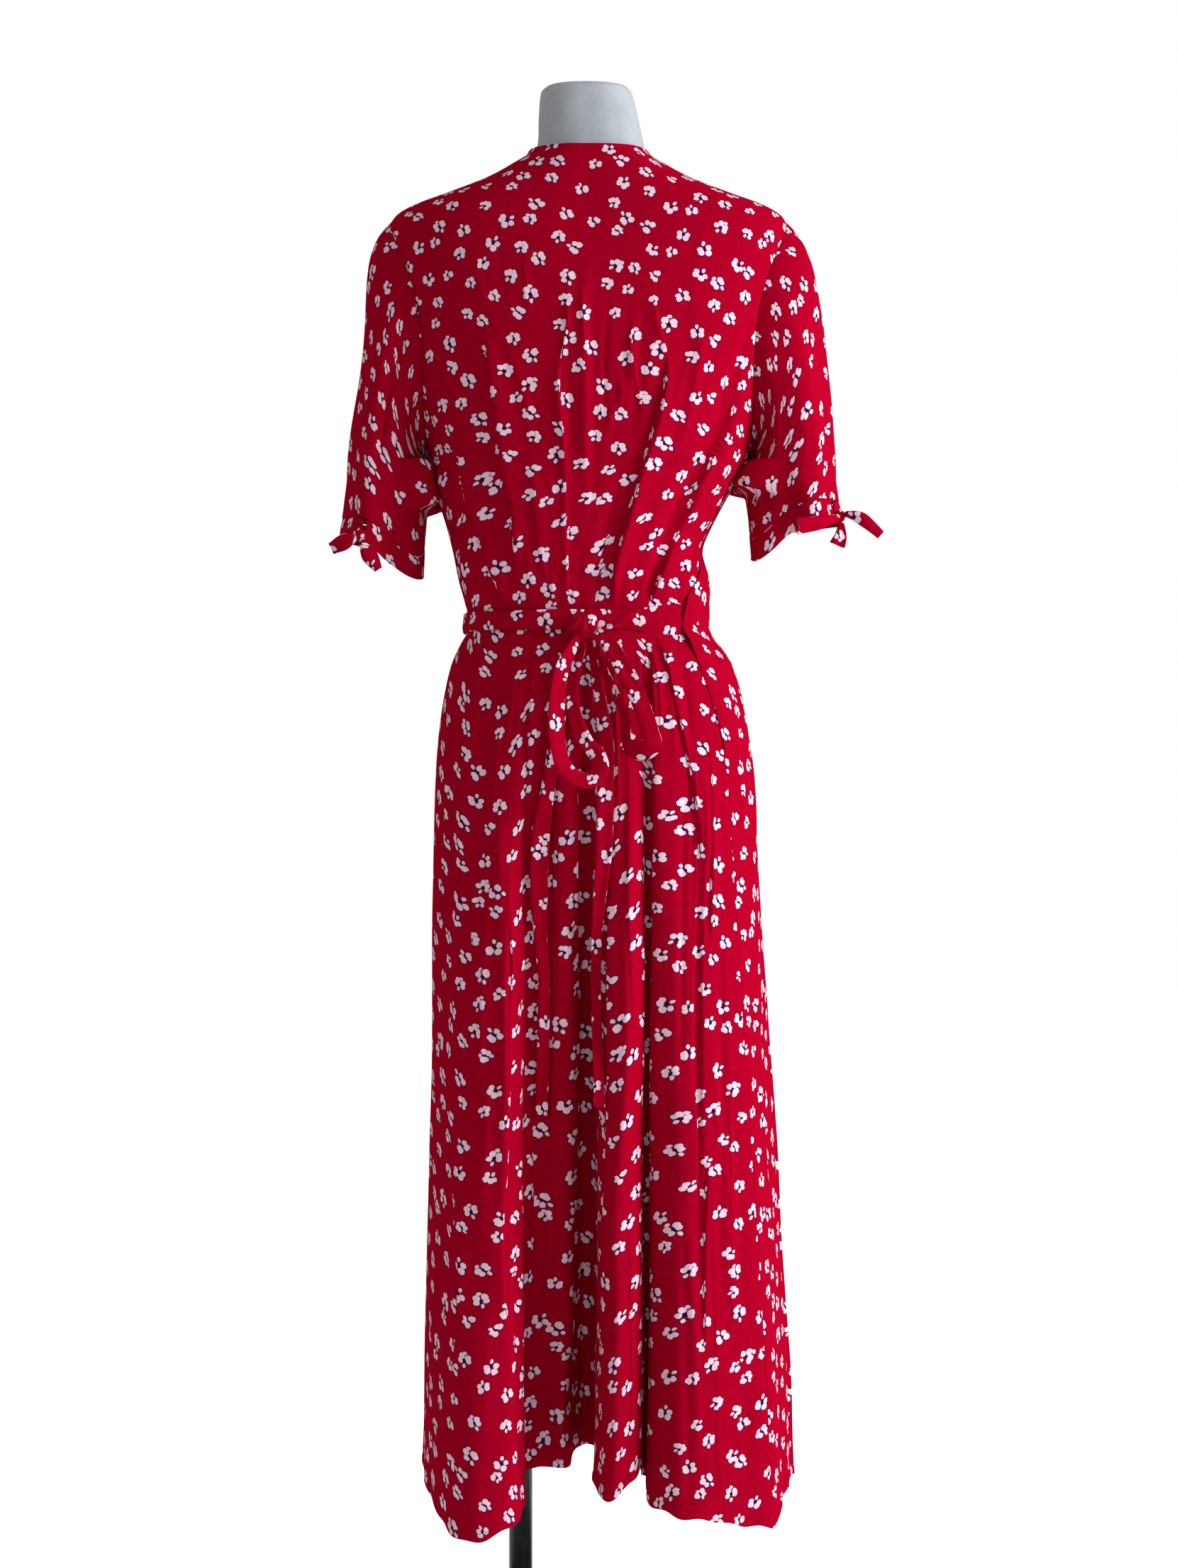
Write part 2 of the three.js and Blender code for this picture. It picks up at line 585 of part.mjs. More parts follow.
addCloth("sleeve_right", sleeve(SLEEVES.right));
addCloth("sleeve_left", mirrored(sleeve(SLEEVES.left)));
addCloth("cuff_band_right", cuffBand(SLEEVES.right));
addCloth("cuff_band_left", mirrored(cuffBand(SLEEVES.left)));

// The waist tie: two runs round the waist, a knot on their ends, and two loops and two tails that
// start inside the knot and are cut to its surface
const KNOT_SIZE = at(24, 15, 26);
const BELT_FACE = section(BODICE_SECTIONS, "back", WAIST_Z) + BELT_OFF + TIE_THICK;
const KNOT = at(-3, -BELT_FACE - KNOT_SIZE.y / 2 - 0.1, 1005);
const LEFT_RUN = { from: SKIRT_FOLDS[OUTER_EDGE_ROW].turn - 360, to: 267.4 };
const RIGHT_RUN = { from: 268, to: 360 + RIGHT_SEAM_TURN };

function beltRun(run, columns, liftAt) {
  const surface = (u, v) => {
    const p = oval(BODICE_SECTIONS, rad(mix(run.from, run.to, u)), WAIST_Z);
    return p.setZ(mix(BELT_LOW_Z, BELT_TOP_Z, v));
  };
  const lift = (u) => BELT_OFF + TIE_THICK + liftAt(u);
  return wall({ surface, lift, columns, rows: [0, 1], thick: TIE_THICK });
}
const seat = (middle, size) => lump(middle, size.clone().addScalar(2 * SEAM_GAP));
const fromKnot = (path, across, steps) =>
  cutBy(ribbon(path, across, steps), seat(KNOT, KNOT_SIZE));
// The left run starts over the outer front, which stands out there.
addCloth("tie_left_run", beltRun(LEFT_RUN, 22, (u) => (WRAP_LIFT + 0.4) * smooth(1 - 2 * u)));
addCloth("tie_right_run", beltRun(RIGHT_RUN, 10, () => 0));
addCloth("bow_knot", lump(KNOT, KNOT_SIZE));

const LEFT_LOOP = [
  { x: -5, y: -99, z: 1001, wide: 6 },
  { x: -13, y: -113, z: 977, wide: 8 },
  { x: -22, y: -128, z: 952, wide: 13 },
  { x: -30, y: -139, z: 915, wide: 16 },
  { x: -32, y: -142, z: 888, wide: 17 },
  { x: -25, y: -143, z: 868, wide: 17 },
  { x: -9, y: -141, z: 861, wide: 17 },
  { x: 6, y: -138, z: 872, wide: 16 },
  { x: 6, y: -135, z: 892, wide: 15 },
  { x: -4, y: -131, z: 912, wide: 14 },
  { x: -8, y: -120, z: 945, wide: 11 },
  { x: -4, y: -107, z: 974, wide: 7 },
  { x: -4, y: -98, z: 998, wide: 6 },
];
const RIGHT_LOOP = [
  { x: 2, y: -98, z: 1003, wide: 7 },
  { x: 12, y: -111, z: 993, wide: 10 },
  { x: 26, y: -123, z: 975, wide: 14 },
  { x: 43, y: -134, z: 936, wide: 17 },
  { x: 50, y: -139, z: 908, wide: 24 },
  { x: 47, y: -134, z: 895, wide: 27 },
  { x: 42, y: -127, z: 906, wide: 20 },
  { x: 34, y: -123, z: 936, wide: 14 },
  { x: 18, y: -114, z: 970, wide: 11 },
  { x: 9, y: -106, z: 985, wide: 8 },
  { x: 2, y: -97, z: 999, wide: 6 },
];
const LEFT_TAIL = [
  { x: -9, y: -94, z: 1000, wide: 6 },
  { x: -13, y: -103, z: 972, wide: 8 },
  { x: -16, y: -108, z: 950, wide: 10 },
  { x: -22, y: -114, z: 900, wide: 12 },
  { x: -35, y: -119, z: 850, wide: 12 },
  { x: -41, y: -121, z: 760, wide: 11 },
  { x: -42, y: -122, z: 660, wide: 11 },
  { x: -46, y: -122, z: 557, wide: 12 },
];
const RIGHT_TAIL = [
  { x: 0, y: -94, z: 1000, wide: 6 },
  { x: 4, y: -103, z: 972, wide: 8 },
  { x: 7, y: -109, z: 950, wide: 10 },
  { x: 12, y: -119, z: 900, wide: 13 },
  { x: 16, y: -126, z: 840, wide: 14 },
  { x: 13, y: -130, z: 760, wide: 12 },
  { x: 10, y: -132, z: 660, wide: 9 },
  { x: 9, y: -133, z: 568, wide: 10 },
];
addCloth("bow_left_loop", fromKnot(LEFT_LOOP, at(0.8, 0.55, 0.1), 20));
addCloth("bow_right_loop", fromKnot(RIGHT_LOOP, at(0.8, 0, 0.6), 18));
addCloth("tie_left_tail", fromKnot(LEFT_TAIL, at(1, 0, 0), 10));
addCloth("tie_right_tail", fromKnot(RIGHT_TAIL, at(1, 0, 0), 10));

// The cuff ties: a knot on the slit of each band, and short ends whose places are measured from
// the knot, across the slit, out of the cuff and up
const CUFF_KNOT = at(10, 10, 14);
const KNOT_SUNK = 0.42; // the knot dips this far into the slit
const CUFF_TIES = {
  right: [
    { across: at(0.3, 0, 0.9), path: [{ x: 0, y: 0, z: 0, wide: 5 },
      { x: 8, y: -6, z: 1, wide: 7 }, { x: 21, y: -8, z: -4, wide: 12 },
      { x: 38, y: -5, z: -18, wide: 9 }] },
    { across: at(0, 0, 1), path: [{ x: 0, y: 0, z: -1, wide: 5 },
      { x: -4, y: -10, z: -3, wide: 8 }, { x: -21, y: -30, z: -9, wide: 13 },
      { x: -42, y: -41, z: -13, wide: 16 }] },
    { across: at(1, 0, 0), path: [{ x: 1, y: 0, z: -3, wide: 5 },
      { x: 1, y: -4, z: -12, wide: 8 }, { x: 0, y: -8, z: -20, wide: 12 },
      { x: -3, y: -9, z: -28, wide: 15 }] },
  ],
  left: [
    { across: at(0, 0, 1), path: [{ x: 0, y: 0, z: -1, wide: 5 },
      { x: 7, y: -3, z: -4, wide: 9 }, { x: 15, y: -3, z: -7, wide: 15 },
      { x: 27, y: 2, z: -13, wide: 11 }] },
    { across: at(0.8, 0, -0.5), path: [{ x: 0, y: -1, z: -2, wide: 5 },
      { x: -3, y: -6, z: -10, wide: 8 }, { x: -9, y: -9, z: -20, wide: 15 },
      { x: -17, y: -9, z: -33, wide: 8 }] },
  ],
};
function cuffTie(side, ends) {
  const surface = sleeveSurface(side, (u, v) => bandShare(side, u) * v);
  const slit = side.slit / (2 * ARMHOLE_STEPS);
  const out = outward(surface, slit, 0.3).setZ(0).normalize();
  const middle = surface(slit, 0.3).addScaledVector(out, CUFF_KNOT.x / 2 - KNOT_SUNK);
  const strips = ends.map(({ path, across }) => {
    const places = path.map((row) => ({ ...row, ...middle.clone().add(row) }));
    return cutBy(ribbon(places, across, 6), seat(middle, CUFF_KNOT));
  });
  return [lump(middle, CUFF_KNOT, 8, 4), ...strips];
}
const cuffTieName = (name, i) => (i ? "cuff_tie_" + name + "_" + i : "cuff_knot_" + name);
cuffTie(SLEEVES.right, CUFF_TIES.right).forEach((body, i) => {
  addCloth(cuffTieName("right", i), body);
});
cuffTie(SLEEVES.left, CUFF_TIES.left).forEach((body, i) => {
  addCloth(cuffTieName("left", i), mirrored(body));
});

// The limbless form, smooth and whole inside the dress
const FORM_SECTIONS = [
  { z: 748, half: 134, back: 88, front: 88, shift: 6 },
  { z: 800, half: 138, back: 96, front: 92, shift: 6 },
  { z: 870, half: 137, back: 99, front: 93, shift: 5 },
  { z: 930, half: 128, back: 94, front: 88, shift: 3 },
  { z: 975, half: 112, back: 81, front: 78, shift: 1 },
  { z: 1008, half: 104, back: 76, front: 76, shift: 0 },
  { z: 1050, half: 105, back: 84, front: 90, shift: -3 },
  { z: 1080, half: 106, back: 91, front: 100, shift: -8 },
  { z: 1110, half: 115, back: 96, front: 109, shift: -6 },
  { z: 1160, half: 138, back: 100, front: 119, shift: 0 },
  { z: 1230, half: 152, back: 101, front: 121, shift: 0 },
  { z: 1300, half: 163, back: 97, front: 104, shift: 0 },
  { z: 1345, half: 171, back: 90, front: 88, shift: 0 },
  { z: 1372, half: 176, back: 83, front: 77, shift: 0 },
  { z: 1385, half: 170, back: 79, front: 71, shift: 0 },
  { z: 1396, half: 153, back: 74, front: 65, shift: 0 },
  { z: 1408, half: 122, back: 70, front: 60, shift: 0 },
  { z: 1421, half: 91, back: 65, front: 54, shift: 0 },
  { z: 1434, half: 68, back: 59, front: 47, shift: 0 },
  { z: 1448, half: 55, back: 54, front: 43, shift: 1 },
  { z: 1464, half: 50, back: 50, front: 42, shift: 2 },
  { z: 1488, half: 47, back: 49, front: 43, shift: 0 },
  { z: NECK_TOP_Z - 3, half: 43, back: 49, front: 45, shift: -2 },
  { z: NECK_TOP_Z, half: 40, back: 46, front: 42, shift: -2 },
];
const FORM_SIDES = 24;
const formRing = ({ z }) =>
  evenly(FORM_SIDES).slice(0, -1).map((t) => oval(FORM_SECTIONS, TAU * t, z));
add("form_torso", loft(FORM_SECTIONS.map(formRing)), JERSEY, 0.85);

// The stand: a collar under the form, the pole, a socket and the round foot
const COLLAR = [{ r: 17, z: 706 }, { r: 20, z: 710 }, { r: 20, z: 736 }, { r: 34, z: 739 },
  { r: 34, z: FORM_BOTTOM_Z - SEAM_GAP }];
const SOCKET = [{ r: 42, z: FOOT_THICK + SEAM_GAP }, { r: 42, z: 12 }, { r: 20, z: 15 },
  { r: 18, z: 44 }];
const FOOT = [{ r: FOOT_RADIUS - 2, z: 0 }, { r: FOOT_RADIUS, z: 2 },
  { r: FOOT_RADIUS, z: FOOT_THICK - 2 }, { r: FOOT_RADIUS - 2, z: FOOT_THICK }];
const POLE = [{ r: POLE_RADIUS, z: FOOT_THICK + SEAM_GAP },
  { r: POLE_RADIUS, z: FORM_BOTTOM_Z - SEAM_GAP }];
const RING_INSIDE = POLE_RADIUS + 2 * SEAM_GAP;
add("pole_collar", turnedRing(COLLAR, RING_INSIDE, POLE_X, 18), BLACK, 0.45);
add("pole", turned(POLE, POLE_X, 18), BLACK, 0.35, 0.6);
add("pole_socket", turnedRing(SOCKET, RING_INSIDE, POLE_X, 18), BLACK, 0.4, 0.6);
add("stand_foot", turned(FOOT, 0, 40), BLACK, 0.4, 0.6);

export default part;
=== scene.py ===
"""A wrap dress of thin printed crepe, worn by a limbless display form on a pole and a round foot.

The tables and the functions of place work in millimetres, and every mesh is written in metres, in
the frame of the loaded model: +Z is up, +Y is the wearer's front and +X the wearer's right.
"""

import math
import random

import bmesh
import bpy
import numpy as np
from bpy.props import FloatProperty, FloatVectorProperty, PointerProperty
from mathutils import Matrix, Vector


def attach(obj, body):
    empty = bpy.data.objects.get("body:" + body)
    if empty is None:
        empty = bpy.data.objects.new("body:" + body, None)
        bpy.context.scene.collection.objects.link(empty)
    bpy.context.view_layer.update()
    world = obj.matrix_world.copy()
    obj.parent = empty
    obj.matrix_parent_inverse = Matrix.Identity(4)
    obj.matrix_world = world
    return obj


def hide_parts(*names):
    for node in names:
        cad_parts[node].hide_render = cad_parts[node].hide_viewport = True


bl_info = {
    "name": "Wrap dress on a form",
    "version": (1, 0, 0),
    "blender": (4, 5, 0),
    "location": "View3D > Sidebar > Dress",
    "description": "Builds the cloth, the form, the stand and the stage of a wrap dress",
    "category": "Object",
}

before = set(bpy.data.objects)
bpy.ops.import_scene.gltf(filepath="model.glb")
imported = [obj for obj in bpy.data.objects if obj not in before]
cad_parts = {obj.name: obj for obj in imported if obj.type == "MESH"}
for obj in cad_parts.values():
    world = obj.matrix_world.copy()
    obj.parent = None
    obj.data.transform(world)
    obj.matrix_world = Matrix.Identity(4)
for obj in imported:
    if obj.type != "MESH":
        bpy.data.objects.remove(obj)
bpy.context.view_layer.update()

MM = 0.001
TAU = 2 * math.pi
MERGE = 1e-6  # points this close, in metres, are one
NO_HEM = 99.0  # the distance from a hem, in millimetres, of cloth that has none
STITCH_LINE = 7.6  # from a hem's edge
TIE_TURN_IN = 8  # cloth hidden in each edge of a tie
BAND_CLOTH = 1.4  # the doubled cloth of a cuff band
BOW_START = 9.5  # where the bow's strips leave the knot, from its middle
LOOP_END = 8.5
CUFF_TIE_START = 4.2
WEB_GAP = 2.2  # between the bodice's side and a sleeve's inner cloth
LAID_GAP = 2.6  # from a tie's middle to the cloth that it lies on
PRINT_TURN = 0.42  # of the rows of flowers, in radians
FLOWER_LEAN = 1.08  # the most that a flower leans either way, in radians
FORM_COVER = 0.38  # width of the form's cover, in metres, on its cut

# Sizes that the cloth shares with the solids under it
SEAM_GAP = 0.3
WRAP_LIFT = 3.0
WAIST_Z = 1008
UNDERARM_Z = 1160
SHOULDER_TIP_Z = 1392
NECKLINE_Z = 1454
FRONT_TOP_Z = 1452
BELT_LOW_Z = 1002
BELT_TOP_Z = 1020
BELT_OFF = 1.4
TIE_THICK = 1.8
CUFF_BAND = 21
FORM_BOTTOM_Z = 748
NECK_TOP_Z = 1514
POLE_RADIUS = 11
POLE_X = -64
FOOT_RADIUS = 170
FOOT_THICK = 8
OVAL_POWER = 2.5
FALL_POWER = 1.3
RIGHT_SEAM_ROW = 21
INNER_EDGE_ROW = 28
OUTER_EDGE_ROW = 38
RIGHT_SEAM_TURN = -34
OUTER_EDGE_TURN = 137
ARMHOLE_BACK = 22
ARMHOLE_FRONT = 26
RING_Z = 1146
RING_FORWARD = 4
HALF_DEEP = 66
RING_SHARE = 0.3
ARMHOLE_GAP = 0.1
CLOTH_GAP = 0.1
SLIT_OVERLAP = 0.075
SLIT_LIFT = 5.6
NECK_SIDE_X = 55


def table(columns, *rows):
    """Named columns of numbers."""
    return {name: np.array([row[i] for row in rows], float)
            for i, name in enumerate(columns.split())}


BODICE_SECTIONS = table(
    "z half back front shift",
    (1008, 114, 86, 88, 0), (1020, 114, 87, 89, 0), (1050, 118, 97, 101, -4),
    (1080, 118, 104, 111, -10), (1110, 128, 108, 119, -8), (1140, 142, 110, 126, -5),
    (1150, 146, 110, 128, -2), (1160, 149, 111, 129, 0), (1172, 152, 111, 131, 0),
    (1230, 165, 112, 133, 0), (1300, 177, 108, 116, 0), (1345, 185, 99, 98, 0),
    (1376, 188, 90, 85, 0), (1392, 184, 85, 78, 0), (1402, 169, 81, 73, 0),
    (1414, 136, 77, 68, 0), (1427, 102, 72, 61, 0), (1440, 77, 66, 53, 0),
    (1454, 58, 59, 45, 0))
SKIRT_SECTIONS = table(
    "z half back front shift",
    (160, 160, 128, 128, 15), (400, 153, 125, 124, 10), (560, 149, 122, 120, 7),
    (757, 149, 118, 114, 4), (864, 147, 115, 108, 4), (918, 142, 108, 103, 3),
    (971, 132, 98, 97, 3), (994, 120, 90, 92, 1), (1001, 115, 87, 89, 0),
    (1008, 114, 86, 88, 0))
FORM_SECTIONS = table(
    "z half back front shift",
    (748, 134, 88, 88, 6), (800, 138, 96, 92, 6), (870, 137, 99, 93, 5), (930, 128, 94, 88, 3),
    (975, 112, 81, 78, 1), (1008, 104, 76, 76, 0), (1050, 105, 84, 90, -3),
    (1080, 106, 91, 100, -8), (1110, 115, 96, 109, -6), (1160, 138, 100, 119, 0),
    (1230, 152, 101, 121, 0), (1300, 163, 97, 104, 0), (1345, 171, 90, 88, 0),
    (1372, 176, 83, 77, 0), (1385, 170, 79, 71, 0), (1396, 153, 74, 65, 0),
    (1408, 122, 70, 60, 0), (1421, 91, 65, 54, 0), (1434, 68, 59, 47, 0), (1448, 55, 54, 43, 1),
    (1464, 50, 50, 42, 2), (1488, 47, 49, 43, 0), (1511, 43, 49, 45, -2), (1514, 40, 46, 42, -2))
# The skirt's large folds round the waist (turn, in degrees) and on the hem
SKIRT_FOLDS = table(
    "turn x y z",
    (180, -151, 0, 232), (194, -153, -48, 226), (207, -143, -100, 206), (219, -116, -146, 180),
    (230, -74, -150, 190), (237, -58, -120, 204), (242, -62, -84, 222), (248, -46, -68, 230),
    (256, -24, -70, 228), (261, -14, -46, 238), (266, -4, -30, 243), (270, 7, -48, 240),
    (274, 4, -100, 224), (279, 16, -140, 214), (285, 38, -138, 230), (290, 50, -110, 238),
    (294, 51, -86, 222), (298, 58, -122, 208), (304, 78, -150, 203), (311, 104, -148, 198),
    (318, 132, -134, 192), (326, 168, -110, 184), (340, 179, -68, 198), (352, 188, -26, 206),
    (363, 193, 16, 210), (374, 183, 60, 220), (385, 160, 92, 226), (394, 140, 92, 226),
    (403, 120, 126, 222), (415, 92, 140, 222), (425, 76, 116, 226), (434, 58, 136, 222),
    (443, 32, 148, 220), (451, 13, 124, 226), (459, -6, 146, 222), (468, -32, 150, 220),
    (477, -50, 122, 226), (486, -68, 138, 224), (497, -98, 130, 226), (508, -118, 100, 230),
    (520, -140, 82, 228), (531, -150, 42, 230))
CUFF_FOLDS = table(
    "right left off",
    (1104, 1088, 0), (1105, 1089, -4), (1104, 1087, 3), (1100, 1083, -4), (1090, 1075, 2),
    (1076, 1060, 0), (1069, 1051, 6), (1092, 1066, -9), (1102, 1084, 4), (1104, 1087, -2))
SLEEVES = {
    "right": dict(ring_x=191, ring_half=43, cuff_x=197, cuff_half=43, hollow=9, slit=18, sign=1,
                  underarm=1130),
    "left": dict(ring_x=190, ring_half=38, cuff_x=196, cuff_half=40, hollow=16, slit=16, sign=-1,
                 underarm=1114),
}


# Curves and places
def smooth(t):
    t = np.clip(t, 0, 1)
    return t * t * (3 - 2 * t)


def mix(a, b, t):
    return a + (b - a) * t


def through(a, b, c, d, t):
    """A smooth curve through four values in a row, between the middle two."""
    cubic = (3 * (b - c) + d - a) * t ** 3
    return b + 0.5 * ((c - a) * t + (2 * a - 5 * b + 4 * c - d) * t * t + cubic)


def section(rows, column, z):
    """One column of a table at a height."""
    heights, values = rows["z"], rows[column]
    slopes = np.zeros_like(values)
    slopes[1:-1] = (values[2:] - values[:-2]) / (heights[2:] - heights[:-2])
    i = np.clip(np.searchsorted(heights, z, side="right") - 1, 0, len(heights) - 2)
    span = heights[i + 1] - heights[i]
    t = np.clip((z - heights[i]) / span, 0, 1)
    leave = t * (1 - t) ** 2 * slopes[i] * span
    arrive = t * t * (1 - t) * slopes[i + 1] * span
    return mix(values[i], values[i + 1], smooth(t)) + leave - arrive


def ring_value(rows, column, place, wrap=0):
    """One column of a ring of rows, at a place counted in rows."""
    values = rows[column]
    n = len(values)
    i = np.floor(place).astype(int)

    def row(k):
        return values[k % n] + wrap * (k // n)

    return through(row(i - 1), row(i), row(i + 1), row(i + 2), place - i)


def oval(rows, angle, z):
    """The body's outline at a height, a squared oval."""
    angle, z = np.broadcast_arrays(angle, z)
    deep = np.where(np.sin(angle) < 0, section(rows, "back", z), section(rows, "front", z))
    across = np.abs(np.cos(angle)) / section(rows, "half", z)
    along = np.abs(np.sin(angle)) / deep
    reach = (across ** OVAL_POWER + along ** OVAL_POWER) ** (-1 / OVAL_POWER)
    shift = section(rows, "shift", z)
    return np.stack([shift + reach * np.cos(angle), reach * np.sin(angle), z], axis=-1)


def armhole_turn(z, most):
    t = np.clip((z - UNDERARM_Z) / (SHOULDER_TIP_Z - UNDERARM_Z), 0, 1)
    return math.radians(most) * np.sin(np.pi * t) ** 0.6


def right_seam(z):
    return math.radians(RIGHT_SEAM_TURN) * (1 - smooth((z - WAIST_Z) / (UNDERARM_Z - WAIST_Z)))


def half_gap(z):
    return CLOTH_GAP / 2 / section(BODICE_SECTIONS, "half", z)


def free_edge(z):
    """The angle of a front's free edge, which runs straight from the neck to the waist."""
    waist_x = oval(BODICE_SECTIONS, math.radians(OUTER_EDGE_TURN), float(WAIST_Z))[0]
    x = mix(NECK_SIDE_X, waist_x, (NECKLINE_Z - z) / (NECKLINE_Z - WAIST_Z))
    low, high = np.zeros_like(z), np.full_like(z, math.pi)
    for _ in range(30):
        middle = (low + high) / 2
        outside = oval(BODICE_SECTIONS, middle, z)[..., 0] > x
        low, high = np.where(outside, middle, low), np.where(outside, high, middle)
    return low


def skirt_place(place, drop):
    """Where the skirt hangs: place counts rows of SKIRT_FOLDS, drop is 1 on the hem."""
    z = mix(WAIST_Z - CLOTH_GAP / 2, ring_value(SKIRT_FOLDS, "z", place), drop)
    angle = np.radians(ring_value(SKIRT_FOLDS, "turn", place, 360))
    body = oval(SKIRT_SECTIONS, angle, z)
    share = np.maximum(0, drop) ** FALL_POWER
    x = mix(body[..., 0], ring_value(SKIRT_FOLDS, "x", place), share)
    y = mix(body[..., 1], ring_value(SKIRT_FOLDS, "y", place), share)
    return np.stack([x, y, z], axis=-1)


def armhole_place(turn):
    low = UNDERARM_Z + ARMHOLE_GAP
    z = mix(low, SHOULDER_TIP_Z - ARMHOLE_GAP, (1 + np.cos(turn)) / 2)
    most = np.where(np.sin(turn) > 0, ARMHOLE_FRONT, ARMHOLE_BACK)
    t = np.clip((z - UNDERARM_Z) / (SHOULDER_TIP_Z - UNDERARM_Z), 0, 1)
    half = section(BODICE_SECTIONS, "half", z)
    opened = np.radians(most) * np.sin(np.pi * t) ** 0.6 - ARMHOLE_GAP / half
    p = oval(BODICE_SECTIONS, np.sign(np.sin(turn)) * np.maximum(0, opened), z)
    p[..., 0] += ARMHOLE_GAP * (1 - np.cos(turn))
    return p


def sleeve_place(side, turn, height):
    """A point of a sleeve as the wearer's right one: height is 0 on the hem, 1 in the armhole."""
    s = SLEEVES[side]
    rows = turn / TAU * len(CUFF_FOLDS["off"])
    below = np.clip((RING_SHARE - height) / RING_SHARE, 0, 1)
    reach = 1 + ring_value(CUFF_FOLDS, "off", rows) / 50 * (0.35 + 0.65 * below)
    half = mix(s["ring_half"], s["cuff_half"], below)
    x = mix(s["ring_x"], s["cuff_x"], below) + half * reach * np.cos(turn)
    y = RING_FORWARD + HALF_DEEP * reach * np.sin(turn)
    low = np.stack([x, y, mix(RING_Z, ring_value(CUFF_FOLDS, side, rows), below)], axis=-1)
    start = armhole_place(turn)
    end = np.stack([x, y, np.full_like(x, RING_Z)], axis=-1)
    up = (1 + np.cos(turn)) / 2
    far = np.linalg.norm(start - end, axis=-1)
    t = np.clip((1 - height) / (1 - RING_SHARE), 0, 1)
    leave = np.stack([mix(0.9, 0.66, up), 0.1 * np.sin(turn), -mix(0, 0.55, up)], axis=-1)
    p = mix(start, end, smooth(t)[..., None]) + leave * (far * t * (1 - t) ** 2)[..., None]
    p[..., 0] -= s["hollow"] * up * up * np.sin(np.pi * t) ** 2
    p[..., 2] += far * t * t * (1 - t)
    return np.where((height <= RING_SHARE)[..., None], low, p)


def band_share(side, turn):
    hem = sleeve_place(side, turn, np.zeros_like(turn))[..., 2]
    return CUFF_BAND * RING_SHARE / (RING_Z - hem)


# Creases: each is a soft ridge (rise over 0) or trough along heights z and places a, where a is
# the distance across the view from behind, or round the body in ROUND millimetres a degree.
ROUND = 2.2


def crease(rise, width, *places, lean=0.0, fade=0.3, edge=0.0, hidden=0.0):
    """One crease. lean makes one of its sides steeper and fade is the share that dies away. edge
    cuts it off in a cliff, with the cloth standing on the side of greater a where edge is over 0,
    and hidden is the cloth that is tucked in under the cliff."""
    return dict(rise=rise, width=width, lean=lean, fade=fade, edge=edge, hidden=hidden,
                rows=table("z a", *sorted(places)))


def crease_shares(c, a, z):
    """The distance from a crease, its strength along its length and which side of it a lies."""
    low, high = c["rows"]["z"][0], c["rows"]["z"][-1]
    t = (z - low) / (high - low)
    d = a - section(c["rows"], "a", z)
    along = smooth(t / c["fade"]) * smooth((1 - t) / c["fade"])
    return d, along, smooth(0.5 + d / max(abs(c["edge"]), 0.1))


def crease_rise(creases, a, z):
    total = np.zeros_like(z)
    for c in creases:
        d, along, side = crease_shares(c, a, z)
        wide = c["width"] * (1 + c["lean"] * np.tanh(d / c["width"]))
        cut = side if c["edge"] > 0 else 1 - side if c["edge"] < 0 else 1
        total += c["rise"] * along * cut / (1 + (d / wide) ** 2) ** 2
    return total


def tucked_cloth(creases, a, z):
    """How much cloth the folds hide on the way to each place."""
    total = np.zeros_like(z)
    for c in creases:
        if c["hidden"]:
            d, along, side = crease_shares(c, a, z)
            total += c["hidden"] * along * (side - smooth(0.5 + d / 70))
    return total


def seeded_creases(seed, count, a_from, a_to, z_top, z_low, rise, width, gather=1.0, long=None):
    """Uneven small creases, some of them tucked; gather draws their lower ends together."""
    pick = random.Random(seed)
    found = []
    for k in range(count):
        a = mix(a_from, a_to, (k + pick.uniform(0.1, 0.9)) / count)
        top = pick.uniform(*z_top)
        low = max(z_low, top - pick.uniform(*long)) if long else z_low
        sway = pick.uniform(-4, 4)
        size = pick.uniform(0.5, 1.0) * rise * (1 if pick.random() < 0.6 else -0.8)
        middle = (a_from + a_to) / 2
        edge = pick.choice((0, 0, 1.4, -1.4)) if size > 0 else 0
        found.append(crease(
            size, pick.uniform(0.7, 1.4) * width,
            (top, a), ((top + low) / 2, mix(a, middle + (a - middle) * gather, 0.5) + sway),
            (low, middle + (a - middle) * gather), lean=pick.uniform(-0.4, 0.4), edge=edge))
    return found


